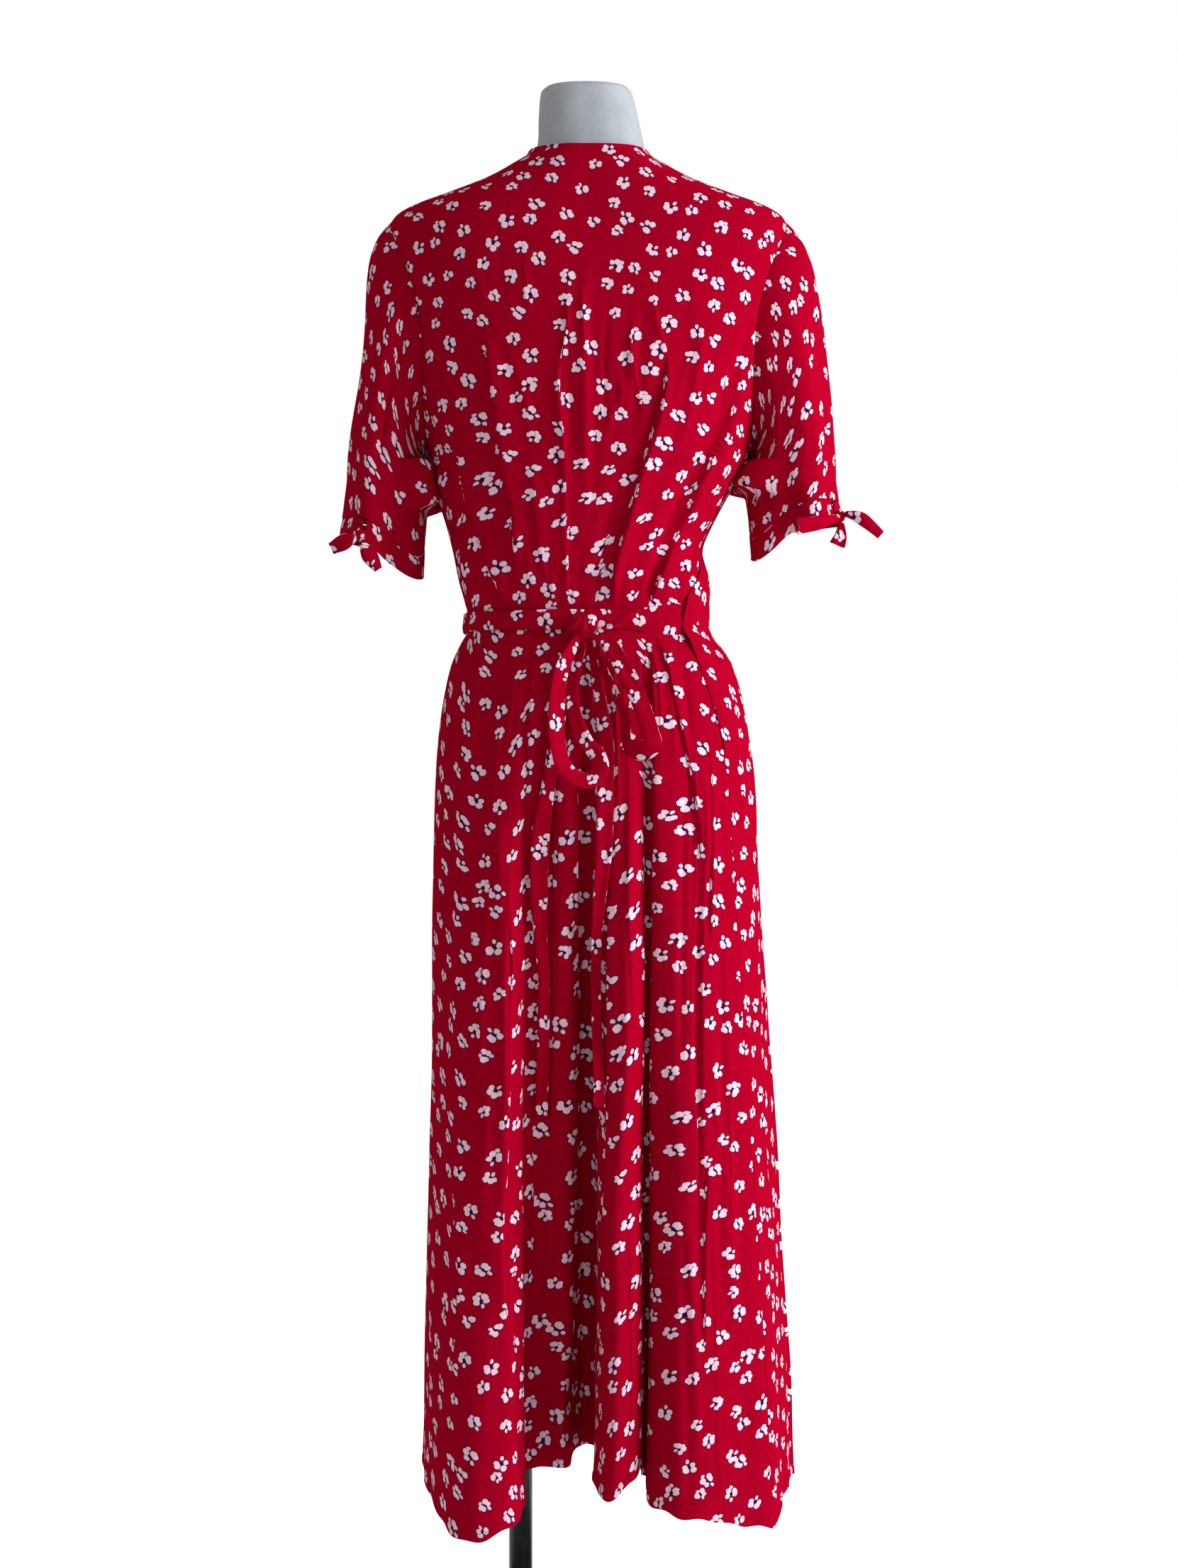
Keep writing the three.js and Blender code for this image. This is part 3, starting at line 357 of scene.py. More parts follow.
BACK_CREASES = [
    crease(3.2, 9, (1257, -25), (1221, -26), (1195, -24), (1156, -20.5), (1075, -19), (1021, -18),
           edge=-1.8, hidden=9, fade=0.15),
    crease(7.0, 17, (1262, 73), (1216, 67), (1178, 57), (1152, 49), (1124, 41), (1096, 33),
           (1075, 27), (1051, 22), (1027, 22), (1012, 18), edge=2.6, hidden=15, fade=0.2),
    crease(-4.6, 6, (1150, 105), (1130, 92), (1111, 82), (1090, 73), (1062, 65), (1040, 57),
           (1020, 50), fade=0.2),
    crease(3.6, 13, (1130, 100), (1111, 89), (1090, 80), (1062, 70), (1040, 61), (1018, 55),
           edge=2.0, hidden=10, fade=0.2),
    crease(-4.8, 9, (1310, 157), (1257, 144), (1221, 127), (1190, 120), (1160, 107), (1139, 92),
           (1115, 82), (1090, 74)),
    crease(4.6, 15, (1240, 140), (1200, 131), (1170, 119), (1145, 105), (1120, 94), (1085, 84),
           edge=2.2, hidden=9, fade=0.25),
    crease(3.8, 16, (1285, -99), (1255, -94), (1195, -86), (1160, -82), (1135, -78), (1111, -71),
           (1081, -69), (1030, -65), edge=1.9, hidden=10, fade=0.18),
    crease(3.6, 10, (1190, -131), (1158, -121), (1115, -110), (1072, -96), (1035, -81),
           (1013, -75), edge=1.8, hidden=10, fade=0.15),
    crease(3.4, 8, (1150, -117), (1113, -103), (1087, -92), (1057, -82), (1031, -75), (1012, -71),
           lean=0.3),
    crease(2.6, 8, (1110, -124), (1080, -119), (1056, -116), (1030, -110), edge=1.6, hidden=6),
    crease(2.8, 8, (1350, 0), (1290, -5), (1220, -3), (1150, -3), (1100, -1), lean=-0.3),
    crease(2.4, 5, (1302, -24), (1285, -20), (1262, -23), (1240, -26), edge=1.5, hidden=5),
    crease(2.0, 5, (1290, 43), (1264, 39), (1238, 43), (1208, 49), (1188, 54), edge=-1.5, hidden=5),
    crease(1.8, 5, (1242, 26), (1216, 30), (1195, 20), (1176, 21)),
    crease(2.6, 8, (1310, 60), (1276, 66), (1253, 72), (1235, 73), edge=-1.8, hidden=7),
    crease(-3.0, 7, (1260, -104), (1220, -98), (1172, -90), (1130, -84), (1085, -76)),
    crease(-3.2, 9, (1215, -152), (1170, -140), (1124, -126), (1080, -108)),
    crease(-2.8, 7, (1150, 30), (1100, 18), (1050, 12), (1010, 10)),
    crease(2.2, 9, (1180, -52), (1120, -47), (1060, -42), (1010, -40), lean=0.3),
    crease(2.4, 8, (1290, 104), (1250, 101), (1200, 93), (1160, 80), lean=0.3),
    crease(2.6, 9, (1330, 160), (1290, 158), (1240, 150), (1205, 143), edge=1.6, hidden=6),
]
SKIRT_BACK_CREASES = [
    crease(4.6, 17, (900, -8), (864, -10), (720, -10.5), (567, -10.5), (440, -16), (300, -18),
           edge=-2.0, hidden=14, fade=0.12),
    crease(-3.6, 6, (950, -2), (861, -2), (670, -3), (478, -3), (330, -8)),
    crease(5.2, 20, (997, 56), (930, 58), (861, 59), (567, 59), (300, 57), (160, 55),
           edge=2.0, hidden=16, fade=0.08),
    crease(-6.0, 4, (960, 53), (861, 55), (606, 54), (300, 53), (120, 52), fade=0.2),
    crease(4.2, 13, (770, 17), (700, 17), (567, 17), (451, 15), (380, 12),
           edge=1.8, hidden=12, fade=0.2),
    crease(-3.6, 6, (790, 12), (719, 12), (544, 12), (460, 11)),
    crease(3.6, 15, (1001, 62), (967, 71), (933, 78), (895, 87), (864, 93), (820, 99), (780, 101),
           edge=1.8, hidden=10, fade=0.15),
    crease(3.4, 14, (940, 95), (915, 107), (864, 111), (800, 111), (748, 109), (700, 110),
           edge=1.7, hidden=10, fade=0.2),
    crease(3.2, 9, (600, 97), (534, 99), (480, 98), edge=-1.6, hidden=8),
    crease(3.0, 10, (600, 157), (525, 160), (470, 161), edge=-1.6, hidden=8),
    crease(3.0, 12, (540, 107), (430, 103.5), (330, 104), edge=1.6, hidden=10),
    crease(3.0, 8, (440, 163), (360, 166), (290, 166), edge=-1.6, hidden=8),
    crease(3.0, 9, (580, -119), (500, -121), (390, -116), (300, -124), edge=1.6, hidden=8),
    crease(3.8, 15, (680, -70), (600, -71), (545, -73), (520, -73), (440, -77), (340, -72),
           edge=-1.8, hidden=10, fade=0.2),
    crease(2.6, 8, (560, -50), (510, -51.5), (436, -52), (380, -54), edge=1.5, hidden=6),
    crease(2.6, 8, (860, 138), (820, 144), (766, 145), (700, 147), edge=-1.6, hidden=8),
    crease(2.6, 9, (930, -130), (880, -132), (830, -132), (780, -134), edge=1.6, hidden=8),
    crease(2.8, 9, (800, -106), (766, -107), (700, -106), (650, -107), edge=1.6, hidden=8),
    crease(2.8, 9, (760, -73), (727, -72), (683, -71), (640, -73), edge=1.6, hidden=7),
    crease(-4.0, 6, (520, -64), (478, -64), (369, -64), (245, -59), (150, -58)),
    crease(-3.5, 6, (830, -54), (752, -54), (561, -54), (500, -55)),
    crease(4.0, 9, (940, -17), (861, -19), (735, -21), (535, -19), (470, -19)),
    crease(4.5, 9, (940, 38), (866, 40), (735, 35), (606, 34), (477, 25), (380, 26), (232, 23),
           (120, 22), lean=0.3),
    crease(3.0, 9, (680, 108), (626, 110), (544, 119), (434, 126), (369, 137), (300, 142)),
    crease(2.4, 8, (530, 140), (478, 146), (379, 163), (330, 168)),
    crease(3.0, 9, (620, -90), (571, -92), (451, -97), (400, -98)),
    crease(3.4, 16, (440, -103), (396, -103), (258, -103), (140, -103)),
    crease(2.6, 8, (850, -82), (796, -81), (719, -79), (640, -78)),
    crease(3.2, 8, (980, -96), (880, -112), (760, -118), (640, -121), lean=-0.3),
    crease(-3.0, 7, (960, -80), (860, -96), (720, -100), (560, -108)),
    crease(3.0, 7, (985, -48), (900, -52), (800, -44), (700, -38)),
    crease(-3.0, 6, (960, -34), (880, -36), (780, -34), (640, -36)),
    crease(-3.2, 7, (980, 84), (900, 92), (760, 96), (560, 100), (380, 100)),
    crease(3.0, 8, (900, 118), (800, 122), (680, 128), (560, 132)),
]


# Pieces of cloth
def surface_normals(points, tube):
    if tube:
        ring = points[:, :-1]
        across = np.roll(ring, -1, axis=1) - np.roll(ring, 1, axis=1)
        across = np.concatenate([across, across[:, :1]], axis=1)
    else:
        across = np.gradient(points, axis=1)
    upward = np.gradient(points, axis=0)
    normal = np.cross(across, upward)
    return normal / np.maximum(np.linalg.norm(normal, axis=-1, keepdims=True), 1e-9)


def lengths(points, axis):
    """Distances along the grid from its first row or column."""
    step = np.linalg.norm(np.diff(points, axis=axis), axis=-1)
    start = np.zeros_like(np.take(step, [0], axis=axis))
    return np.concatenate([start, np.cumsum(step, axis=axis)], axis=axis)


def sewn_rise(points, sewn, ripple=0.25):
    """The roll and the puckers of the cloth at its seams, on the named sides of the grid."""
    run, climb = lengths(points, 1), lengths(points, 0)
    from_side = {"first": run, "last": run[:, -1:] - run, "low": climb, "top": climb[-1:] - climb}
    along = {"first": climb, "last": climb, "low": run, "top": run}
    rise = np.zeros(points.shape[:2])
    for side in sewn:
        d, s = from_side[side], along[side]
        pucker = np.sin(s / 1.6) + 0.7 * np.sin(s / 2.9 + 1)
        rise += -0.35 * np.exp(-(d / 1.5) ** 2) + ripple * pucker * np.exp(-d / 5) * smooth(d / 2)
    return rise


def hem_rise(points):
    """The narrow turned hem: a low welt with a line of stitches over it."""
    climb = lengths(points, 0)
    return 0.5 * smooth((9 - climb) / 2) - 0.5 * np.exp(-((climb - 8) / 1.3) ** 2)


def grid_mesh(points, across, up, hem=None, round_rows=0):
    """A mesh through a grid of points in millimetres. across and up are the places on the flat
    cut in metres, hem is the distance from the hem's edge, and round_rows is a tube's length
    round each row, taken off past the row's middle."""
    rows, columns = points.shape[0] - 1, points.shape[1] - 1
    across, up = np.broadcast_to(across, points.shape[:2]), np.broadcast_to(up, points.shape[:2])
    turn_back = np.broadcast_to(round_rows, points.shape[:2])
    bm = bmesh.new()
    layer, from_hem = bm.loops.layers.uv.new("Cut"), bm.verts.layers.float.new("hem")
    bmesh.ops.create_grid(bm, x_segments=columns, y_segments=rows, size=0.5)
    spot = {v: (round((v.co.y + 0.5) * rows), round((v.co.x + 0.5) * columns)) for v in bm.verts}
    for v, at in spot.items():
        v.co = points[at] * MM
        v[from_hem] = NO_HEM if hem is None else hem[at]
    for face in bm.faces:
        face.smooth = True
        past_middle = min(spot[v][1] for v in face.verts) >= columns // 2
        for loop in face.loops:
            at = spot[loop.vert]
            loop[layer].uv = (across[at] - past_middle * turn_back[at], up[at])
    return bm


def cloth_object(name, points, tube=False, thick=0.8, shift=(0, 0), stitched=False, tucked=0,
                 straight=None):
    """A thin shell through a grid of points. A tube's cut is measured from its first line both
    ways, and straight is the grid that its heights are measured on."""
    run, climb = lengths(points, 1), lengths(points if straight is None else straight, 0)
    rows, columns = climb.shape
    middle = 0 if tube else run[:, (columns - 1) // 2, None]
    across = (run - middle + tucked) * MM + shift[0]
    up = (climb - climb[(rows - 1) // 2]) * MM + shift[1]
    bm = grid_mesh(points, across, up, climb if stitched else None,
                   run[:, -1:] * MM if tube else 0)
    if tube:
        bmesh.ops.remove_doubles(bm, verts=bm.verts, dist=MERGE)
    for edge in bm.edges:
        edge.smooth = not edge.is_boundary
    return finish_object(name, bm, thick)


def closed_object(name, bm):
    """Join the sides of a grid that runs round a tie and fill its ends."""
    bmesh.ops.remove_doubles(bm, verts=bm.verts, dist=MERGE)
    ends = [e for e in bm.edges if len(e.link_faces) == 1]
    bmesh.ops.holes_fill(bm, edges=ends, sides=0)
    bmesh.ops.recalc_face_normals(bm, faces=bm.faces)
    return finish_object(name, bm)


def finish_object(name, bm, thick=0.0):
    mesh = bpy.data.meshes.new(name)
    bm.to_mesh(mesh)
    bm.free()
    piece = bpy.data.objects.new(name, mesh)
    bpy.context.scene.collection.objects.link(piece)
    if thick:
        shell = piece.modifiers.new("Cloth", "SOLIDIFY")
        shell.thickness = thick * MM
        shell.offset = -1
    return piece


def dress(piece, node, material):
    """Give a piece its material in a slot and its body, and hide the model's node that it stands
    for.
    """
    piece.data.materials.append(material)
    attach(piece, "root")
    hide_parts(node)
    return piece


def settle(points, rise, tube=False):
    return points + surface_normals(points, tube) * rise[..., None]


def crumple(points, rise, seed):
    """Small uneven waves, longer down the cloth than across it."""
    x, y, z = points[..., 0], points[..., 1], points[..., 2]
    around = np.arctan2(y, x) * 120
    wave = np.zeros_like(x)
    pick = random.Random(seed)
    for _ in range(9):
        wide, tall = pick.uniform(9, 26), pick.uniform(45, 120)
        turn, late = pick.uniform(-0.5, 0.5), pick.uniform(0, TAU)
        wave += np.sin((around + turn * z) / wide + late) * np.sin(z / tall + 3 * late)
    return rise * wave / 3


# Bodice
def bodice_heights():
    return np.concatenate([
        np.linspace(WAIST_Z + CLOTH_GAP / 2, 1044, 8)[:-1], np.linspace(1044, 1060, 14)[:-1],
        np.linspace(1060, 1376, 60)[:-1], np.linspace(1376, 1440, 34)[:-1],
        np.linspace(1440, NECKLINE_Z, 8)])


def back_bodice(settings):
    z = bodice_heights()[:, None]
    u = np.linspace(0, 1, 281)[None, :]
    left = math.pi + armhole_turn(z, ARMHOLE_BACK) + half_gap(z)
    right = TAU + right_seam(z) - armhole_turn(z, ARMHOLE_BACK) - half_gap(z)
    points = oval(BODICE_SECTIONS, mix(left, right, u), z)
    zz, x = points[..., 2], points[..., 0]
    facing = smooth(-surface_normals(points, False)[..., 1] / 0.4)
    calm = smooth((zz - BELT_TOP_Z) / 14) * smooth(lengths(points, 1) / 16)
    calm *= smooth((lengths(points, 1)[:, -1:] - lengths(points, 1)) / 16)
    small = seeded_creases(3, 34, -140, 150, (1120, 1330), 1030, 1.5, 5, 0.72, (70, 170))
    small += seeded_creases(5, 20, -104, 100, (1045, 1085), 1004, 1.6, 4, 0.95)
    small += seeded_creases(9, 12, -150, 150, (1240, 1400), 1180, 1.0, 8, 0.9, (60, 130))
    rise = crease_rise(BACK_CREASES + small, x, zz) * facing * calm
    hidden = tucked_cloth(BACK_CREASES + small, x, zz)
    tuck = np.exp(-((zz - 1051) / 2.2) ** 2) * smooth((24 - np.abs(x + 14)) / 8)
    rise += crumple(points, 0.5 * settings.fold_depth, 2) * calm - 1.6 * tuck
    rise += sewn_rise(points, ("first", "last"))
    return settle(points, rise), hidden


def front_bodice(outer, settings):
    z = bodice_heights()
    z = (z[0] + (z - z[0]) * (FRONT_TOP_Z - z[0]) / (z[-1] - z[0]))[:, None]
    u = np.linspace(0, 1, 89)[None, :]
    seam = armhole_turn(z, ARMHOLE_FRONT) + half_gap(z)
    if outer:
        seam = seam + right_seam(z) - SLIT_OVERLAP * smooth((1062 - z) / 34)
    angle = mix(seam, free_edge(z), u if outer else 1 - u)
    points = oval(BODICE_SECTIONS, angle if outer else math.pi - angle, z)
    lift = WRAP_LIFT * smooth(u) if outer else -WRAP_LIFT * smooth(1 - u)
    zz, x = points[..., 2], points[..., 0]
    calm = smooth((zz - BELT_TOP_Z) / 14)
    run = lengths(points, 1)
    calm *= smooth((run if outer else run[:, -1:] - run) / 16)
    rise = np.zeros_like(x) + lift
    if outer:
        main = [crease(4, 12, (1214, 8), (1120, -16), (1024, -26), (1000, -28)),
                crease(5, 11, (1224, 62), (1120, 38), (1024, 26), (1000, 24), lean=0.3),
                crease(5, 11, (1226, 106), (1120, 84), (1020, 70), (1000, 68), lean=0.3)]
        small = seeded_creases(13, 22, -90, 150, (1070, 1260), 1012, 1.3, 5, 0.8, (60, 150))
        slit = 0.3 * smooth((1068 - zz) / 10) + 0.7 * smooth((1036 - zz) / 12)
        slit *= SLIT_LIFT * smooth((26 - run) / 14)
        rise += crease_rise(main + small, x, zz) * calm + slit
        rise += crumple(points, 0.45 * settings.fold_depth, 21) * calm
    else:
        waves = crumple(points, 0.3 * settings.fold_depth, 22)
        rise += np.minimum(waves, 0.1) * calm * smooth(u * 3)
    rise += sewn_rise(points, ("first",) if outer else ("last",))
    return settle(points, rise)


# Skirt
def skirt_panel(first_row, last_row, columns, rows, lift, settings, outer=False, back=False):
    gap = CLOTH_GAP * 0.05
    u = np.linspace(0, 1, columns + 1)[None, :]
    v = np.linspace(0, 1, rows + 1)[:, None]
    drop = 1 - np.where(v < 0.12, v * 0.22, 0.0264 + (v - 0.12) * 1.106364)
    first = first_row + gap
    if outer:
        first = first - 0.55 * smooth((mix(WAIST_Z, 184, drop) - 900) / 95)
    place = mix(first, last_row - gap, u) + 0 * v
    points = skirt_place(place, drop + 0 * u)
    x, y, z = points[..., 0], points[..., 1], points[..., 2]
    run = lengths(points, 1)
    normal = surface_normals(points, False)
    under = smooth((BELT_LOW_Z - z) / 12)
    around = np.degrees(np.unwrap(np.arctan2(y, x), axis=1)) % 360 * ROUND
    rise = lift(u) + 0 * z
    if back:
        facing = smooth((-normal[..., 1] + 0.1) / 0.4) * smooth(run / 20)
        facing *= smooth((run[:, -1:] - run - 8) / 24)
        small = seeded_creases(31, 20, -118, 92, (990, 999), 800, 2.4, 4.5, 1.12, (70, 210))
        small += seeded_creases(33, 26, -130, 130, (760, 960), 260, 2.0, 7, 1.1, (200, 480))
        small += seeded_creases(35, 18, -140, 150, (420, 620), 120, 2.2, 8, 1.08, (200, 420))
        small += seeded_creases(39, 10, 86, 174, (880, 985), 150, 3.4, 5.5, 1.12, (320, 620))
        rise += crease_rise(SKIRT_BACK_CREASES + small, x, z) * facing * under
        hidden = tucked_cloth(SKIRT_BACK_CREASES + small, x, z)
        side = seeded_creases(37, 7, 176 * ROUND, 215 * ROUND, (940, 999), 140, 3, 9)
        rise += crease_rise(side, around, z) * under * (1 - facing) * smooth(run / 16)
    else:
        start, end = around[-1].min(), around[-1].max()
        count = max(6, int((end - start) / 14))
        small = seeded_creases(41 + last_row, count, start, end, (980, 999), 300, 2.2, 6, 1.0,
                               (120, 420))
        small += seeded_creases(51 + last_row, count, start, end, (500, 900), 120, 2.4, 9, 1.0,
                                (250, 600))
        calm = smooth(run / 16) * smooth((run[:, -1:] - run) / 16)
        fine = crease_rise(small, around, z) * under * calm
        hidden = tucked_cloth(small, around, z)
        rise += fine if outer else np.clip(fine, -3, 0.4) * 0.6
    if outer:
        over = 0.3 * smooth((z - 880) / 14) + 0.7 * smooth((z - 976) / 14)
        rise += SLIT_LIFT * over * smooth((26 - run) / 14)
    waves = crumple(points, 0.45 * settings.fold_depth, 61 + last_row)
    rise += waves * under * smooth(run / 14)
    rise += sewn_rise(points, ("first", "last") if back else (("first",) if outer else ("last",)))
    rise += hem_rise(points)
    flutter = np.sin(run / 5.2) + 0.8 * np.sin(run / 8.7 + 2)
    near_hem = smooth((40 - lengths(points, 0)) / 40)
    points = settle(points, rise)
    points[..., 2] += 1.1 * flutter * near_hem * smooth(run / 12)
    return settle(points, 0.9 * np.cos(run / 6.1) * near_hem * smooth(run / 12)), hidden


# Sleeves
def sleeve_points(side):
    s = SLEEVES[side]
    turn = np.linspace(0, TAU, 105)[None, :]
    share = np.concatenate([np.linspace(0, RING_SHARE, 22)[:-1], np.linspace(RING_SHARE, 1, 76)])
    low = band_share(side, turn) * (1 + 3 * SEAM_GAP / CUFF_BAND)
    height = np.where(share[:, None] < RING_SHARE,
                      mix(low, RING_SHARE, share[:, None] / RING_SHARE),
                      share[:, None])
    points = sleeve_place(side, turn + 0 * height, height)
    degrees = np.degrees(turn) + 0 * height
    z = points[..., 2]
    straight = points.copy()
    beside = body_side(points[..., 1], z, s["sign"]) + WEB_GAP
    inner = smooth((-np.cos(turn) - 0.2) / 0.5)
    web = smooth((z - s["underarm"]) / 10) * inner * (z < UNDERARM_Z)
    points[..., 0] = mix(points[..., 0], np.minimum(points[..., 0], beside), web)
    if side == "right":
        main = [crease(3.0, 9, (1370, 262), (1260, 258), (1160, 246), (1060, 240), lean=0.3),
                crease(-3.0, 7, (1300, 232), (1200, 234), (1060, 228)),
                crease(2.6, 9, (1340, 292), (1220, 296), (1080, 300)),
                crease(-2.6, 8, (1350, 318), (1230, 322), (1085, 326))]
    else:
        main = [crease(-4.5, 7, (1368, 262), (1340, 268), (1240, 272), (1145, 276), (1120, 278)),
                crease(3.2, 9, (1360, 286), (1240, 290), (1075, 292), lean=-0.3),
                crease(2.6, 8, (1290, 246), (1190, 244), (1050, 240)),
                crease(-2.4, 8, (1330, 320), (1220, 322), (1070, 322))]
    small = seeded_creases(71 + len(side), 16, 0, 360, (1180, 1350), 1050, 1.5, 6, 1.0, (80, 190))
    calm = smooth((lengths(points, 0)[-1:] - lengths(points, 0)) / 16)
    rise = crease_rise(main + small, degrees, z) * calm
    climb = lengths(points, 0)
    calm_low = smooth(climb / 10)
    rise = rise * calm_low + sewn_rise(points, ("low", "top"))
    points = settle(points, rise, True)
    return (mirror_points(points), mirror_points(straight)) if s["sign"] < 0 else (points, straight)


def body_side(y, z, sign):
    """How far out the bodice's side lies under an arm."""
    behind, before = (section(BODICE_SECTIONS, column, z) for column in ("back", "front"))
    deep = np.where(y < 0, behind, before)
    share = (1 - np.clip(np.abs(y) / deep, 0, 0.99) ** OVAL_POWER) ** (1 / OVAL_POWER)
    return section(BODICE_SECTIONS, "half", z) * share + sign * section(BODICE_SECTIONS, "shift", z)


def mirror_points(points):
    """The same cloth on the wearer's other side, still facing outwards."""
    turned = points[:, ::-1].copy()
    turned[..., 0] *= -1
    return turned


def band_points(side):
    s = SLEEVES[side]
    slit = s["slit"] / 20 * TAU
    turn = slit + np.linspace(0.14 / 20, 1 - 0.14 / 20, 109)[None, :] * TAU
    v = np.linspace(0, 1, 13)[:, None]
    points = sleeve_place(side, turn % TAU + 0 * v, band_share(side, turn % TAU) * v)
    climb = lengths(points, 0)
    run = lengths(points, 1)
    rise = 0.5 * np.sin(run / 4.1) * np.sin(climb / 7) + 0.4 * smooth((3 - climb) / 3)
    points = settle(points, rise + sewn_rise(points, ("top",)))
    return mirror_points(points) if s["sign"] < 0 else points


# Ties
def strip_frame(path, across, steps):
    """Points along a path, with the directions across it and out of its face."""
    values = {k: path[k] for k in ("x", "y", "z", "wide")}
    end = len(values["x"]) - 1

    def value(column, s):
        k = np.minimum(end - 1, np.floor(s).astype(int))
        rows = values[column]

        def row(i):
            return rows[np.clip(i, 0, end)]

        return through(row(k - 1), row(k), row(k + 1), row(k + 2), s - k)

    s = np.linspace(0, end, steps + 1)
    middle = np.stack([value(c, s) for c in "xyz"], axis=-1)
    ahead = np.stack([value(c, np.minimum(end, s + 0.01)) for c in "xyz"], axis=-1)
    behind = np.stack([value(c, np.maximum(0, s - 0.01)) for c in "xyz"], axis=-1)
    along = ahead - behind
    along /= np.linalg.norm(along, axis=-1, keepdims=True)
    side, sides = np.array(across, float), []
    for a in along:
        side = side - a * side.dot(a)
        side = side / np.linalg.norm(side)
        sides.append(side)
    sides = np.array(sides)
    return middle, sides, np.cross(along, sides), value("wide", s) / 2


def strip_piece(name, path, across, steps=72, around=20, thick=1.9, shift=(0, 0), seed=0,
                crumpled=1.0):
    """A flat tie of doubled cloth with rounded edges and a few creases along it."""
    middle, side, face, half = strip_frame(path, across, steps)
    pick = random.Random(seed)
    late, wave = pick.uniform(0, TAU), pick.uniform(26, 40)
    run = lengths(middle[None], 1)[0]
    phi = np.linspace(0, TAU, around + 1)
    wide = np.sign(np.cos(phi)) * np.abs(np.cos(phi)) ** 0.85
    tall = np.sign(np.sin(phi)) * np.abs(np.sin(phi)) ** 0.8 * thick / 2
    bend = 0.09 * half[:, None] * np.cos(2.6 * wide + late + 0.6 * np.sin(run / wave)[:, None])
    bend = bend + 0.35 * np.sin(run / 5.5 + late)[:, None] * wide
    bend = bend - 0.7 * np.exp(-((wide - 0.3 * np.sin(run / 55 + late)[:, None]) / 0.14) ** 2)
    points = (middle[:, None] + side[:, None] * (half[:, None] * wide)[..., None]
              + face[:, None] * (tall + crumpled * bend)[..., None])
    folded = smooth((phi - math.pi + 0.25) / 0.5) + smooth(phi / 0.3)
    folded = folded + smooth((phi - TAU) / 0.3 + 1)
    girth = lengths(points, 1) + TIE_TURN_IN * folded
    return closed_object(name, grid_mesh(points, girth * MM + shift[0],
                                         run[:, None] * MM + shift[1]))


PATH = "x y z wide"
LEFT_LOOP = table(
    PATH, (-5, -99, 1001, 7), (-14, -112, 985, 10), (-24, -126, 964, 14), (-28.5, -136, 934, 16),
    (-28.5, -141, 903, 17), (-23, -144, 878, 17), (-12, -145, 866, 17), (1.5, -143, 863.5, 17),
    (10.5, -139, 873, 16), (8, -136, 886, 15), (-1, -134, 896, 14), (-8, -131, 909, 14),
    (-13.5, -127, 928, 12), (-14, -120, 948, 11), (-11, -112, 967, 10), (-6, -104, 985, 8),
    (-4, -98, 998, 7))
RIGHT_LOOP = table(
    PATH, (3, -98, 1003, 8), (11, -111, 998, 12), (23, -123, 980, 15), (36, -131, 957, 16),
    (46.5, -136, 934, 16), (55, -139, 909, 16), (57, -139, 895, 18), (46, -136, 890, 20),
    (35, -131, 896, 16), (34, -128, 910, 14), (31.5, -125, 926, 14), (23, -119, 944, 13),
    (14, -111, 965, 11), (7, -104, 986, 9), (3, -97, 999, 7))
LEFT_TAIL = table(
    PATH, (-9, -94, 1000, 6), (-14, -103, 972, 8), (-22, -108, 940, 10), (-30, -113, 900, 12),
    (-36, -118, 860, 12), (-42, -121, 827, 16), (-44.5, -121, 797, 17), (-45, -121, 760, 16),
    (-44, -122, 722, 12), (-40.5, -122, 683, 11), (-41, -122, 632, 11), (-43, -122, 557, 12))
RIGHT_TAIL = table(
    PATH, (0, -94, 1000, 6), (5, -103, 972, 8), (11, -112, 935, 11), (16, -119, 897, 14),
    (15.5, -126, 854, 16), (14, -130, 797, 15), (10.3, -130, 760, 12), (7.7, -131, 727, 10),
    (6.5, -132, 683, 9), (8, -133, 620, 9), (10, -133, 568, 10))
KNOT_SIZE = (31, 15, 27)
BELT_FACE = 86 + BELT_OFF + TIE_THICK
KNOT = (-4.5, -BELT_FACE - KNOT_SIZE[1] / 2 - 1.2, 1003.5)
CUFF_KNOT = (10, 10, 14)
CUFF_TIES = {
    "right": [
        ((0.3, 0, 0.9), (0.011, 0.042), table(PATH, (0, 0, 0, 5), (8, -6, 1, 7), (21, -8, -4, 12),
                                              (38, -5, -18, 9))),
        ((0, 0, 1), (0.012, 0.056), table(PATH, (0, 0, -1, 5), (-4, -10, -3, 8),
                                          (-21, -30, -9, 13), (-42, -41, -13, 16))),
        ((1, 0, 0), (0.012, 0.026), table(PATH, (1, 0, -3, 5), (1, -4, -12, 8), (0, -8, -20, 12),
                                          (-3, -9, -28, 15))),
    ],
    "left": [
        ((0, 0, 1), (0.013, 0.028), table(PATH, (0, 0, -1, 5), (7, -3, -4, 9), (15, -3, -7, 15),
                                          (27, 2, -13, 11))),
        ((0.8, 0, -0.5), (0.012, 0.036), table(PATH, (0, -1, -2, 5), (-3, -6, -10, 8),
                                               (-9, -9, -20, 15), (-17, -9, -33, 8))),
    ],
}


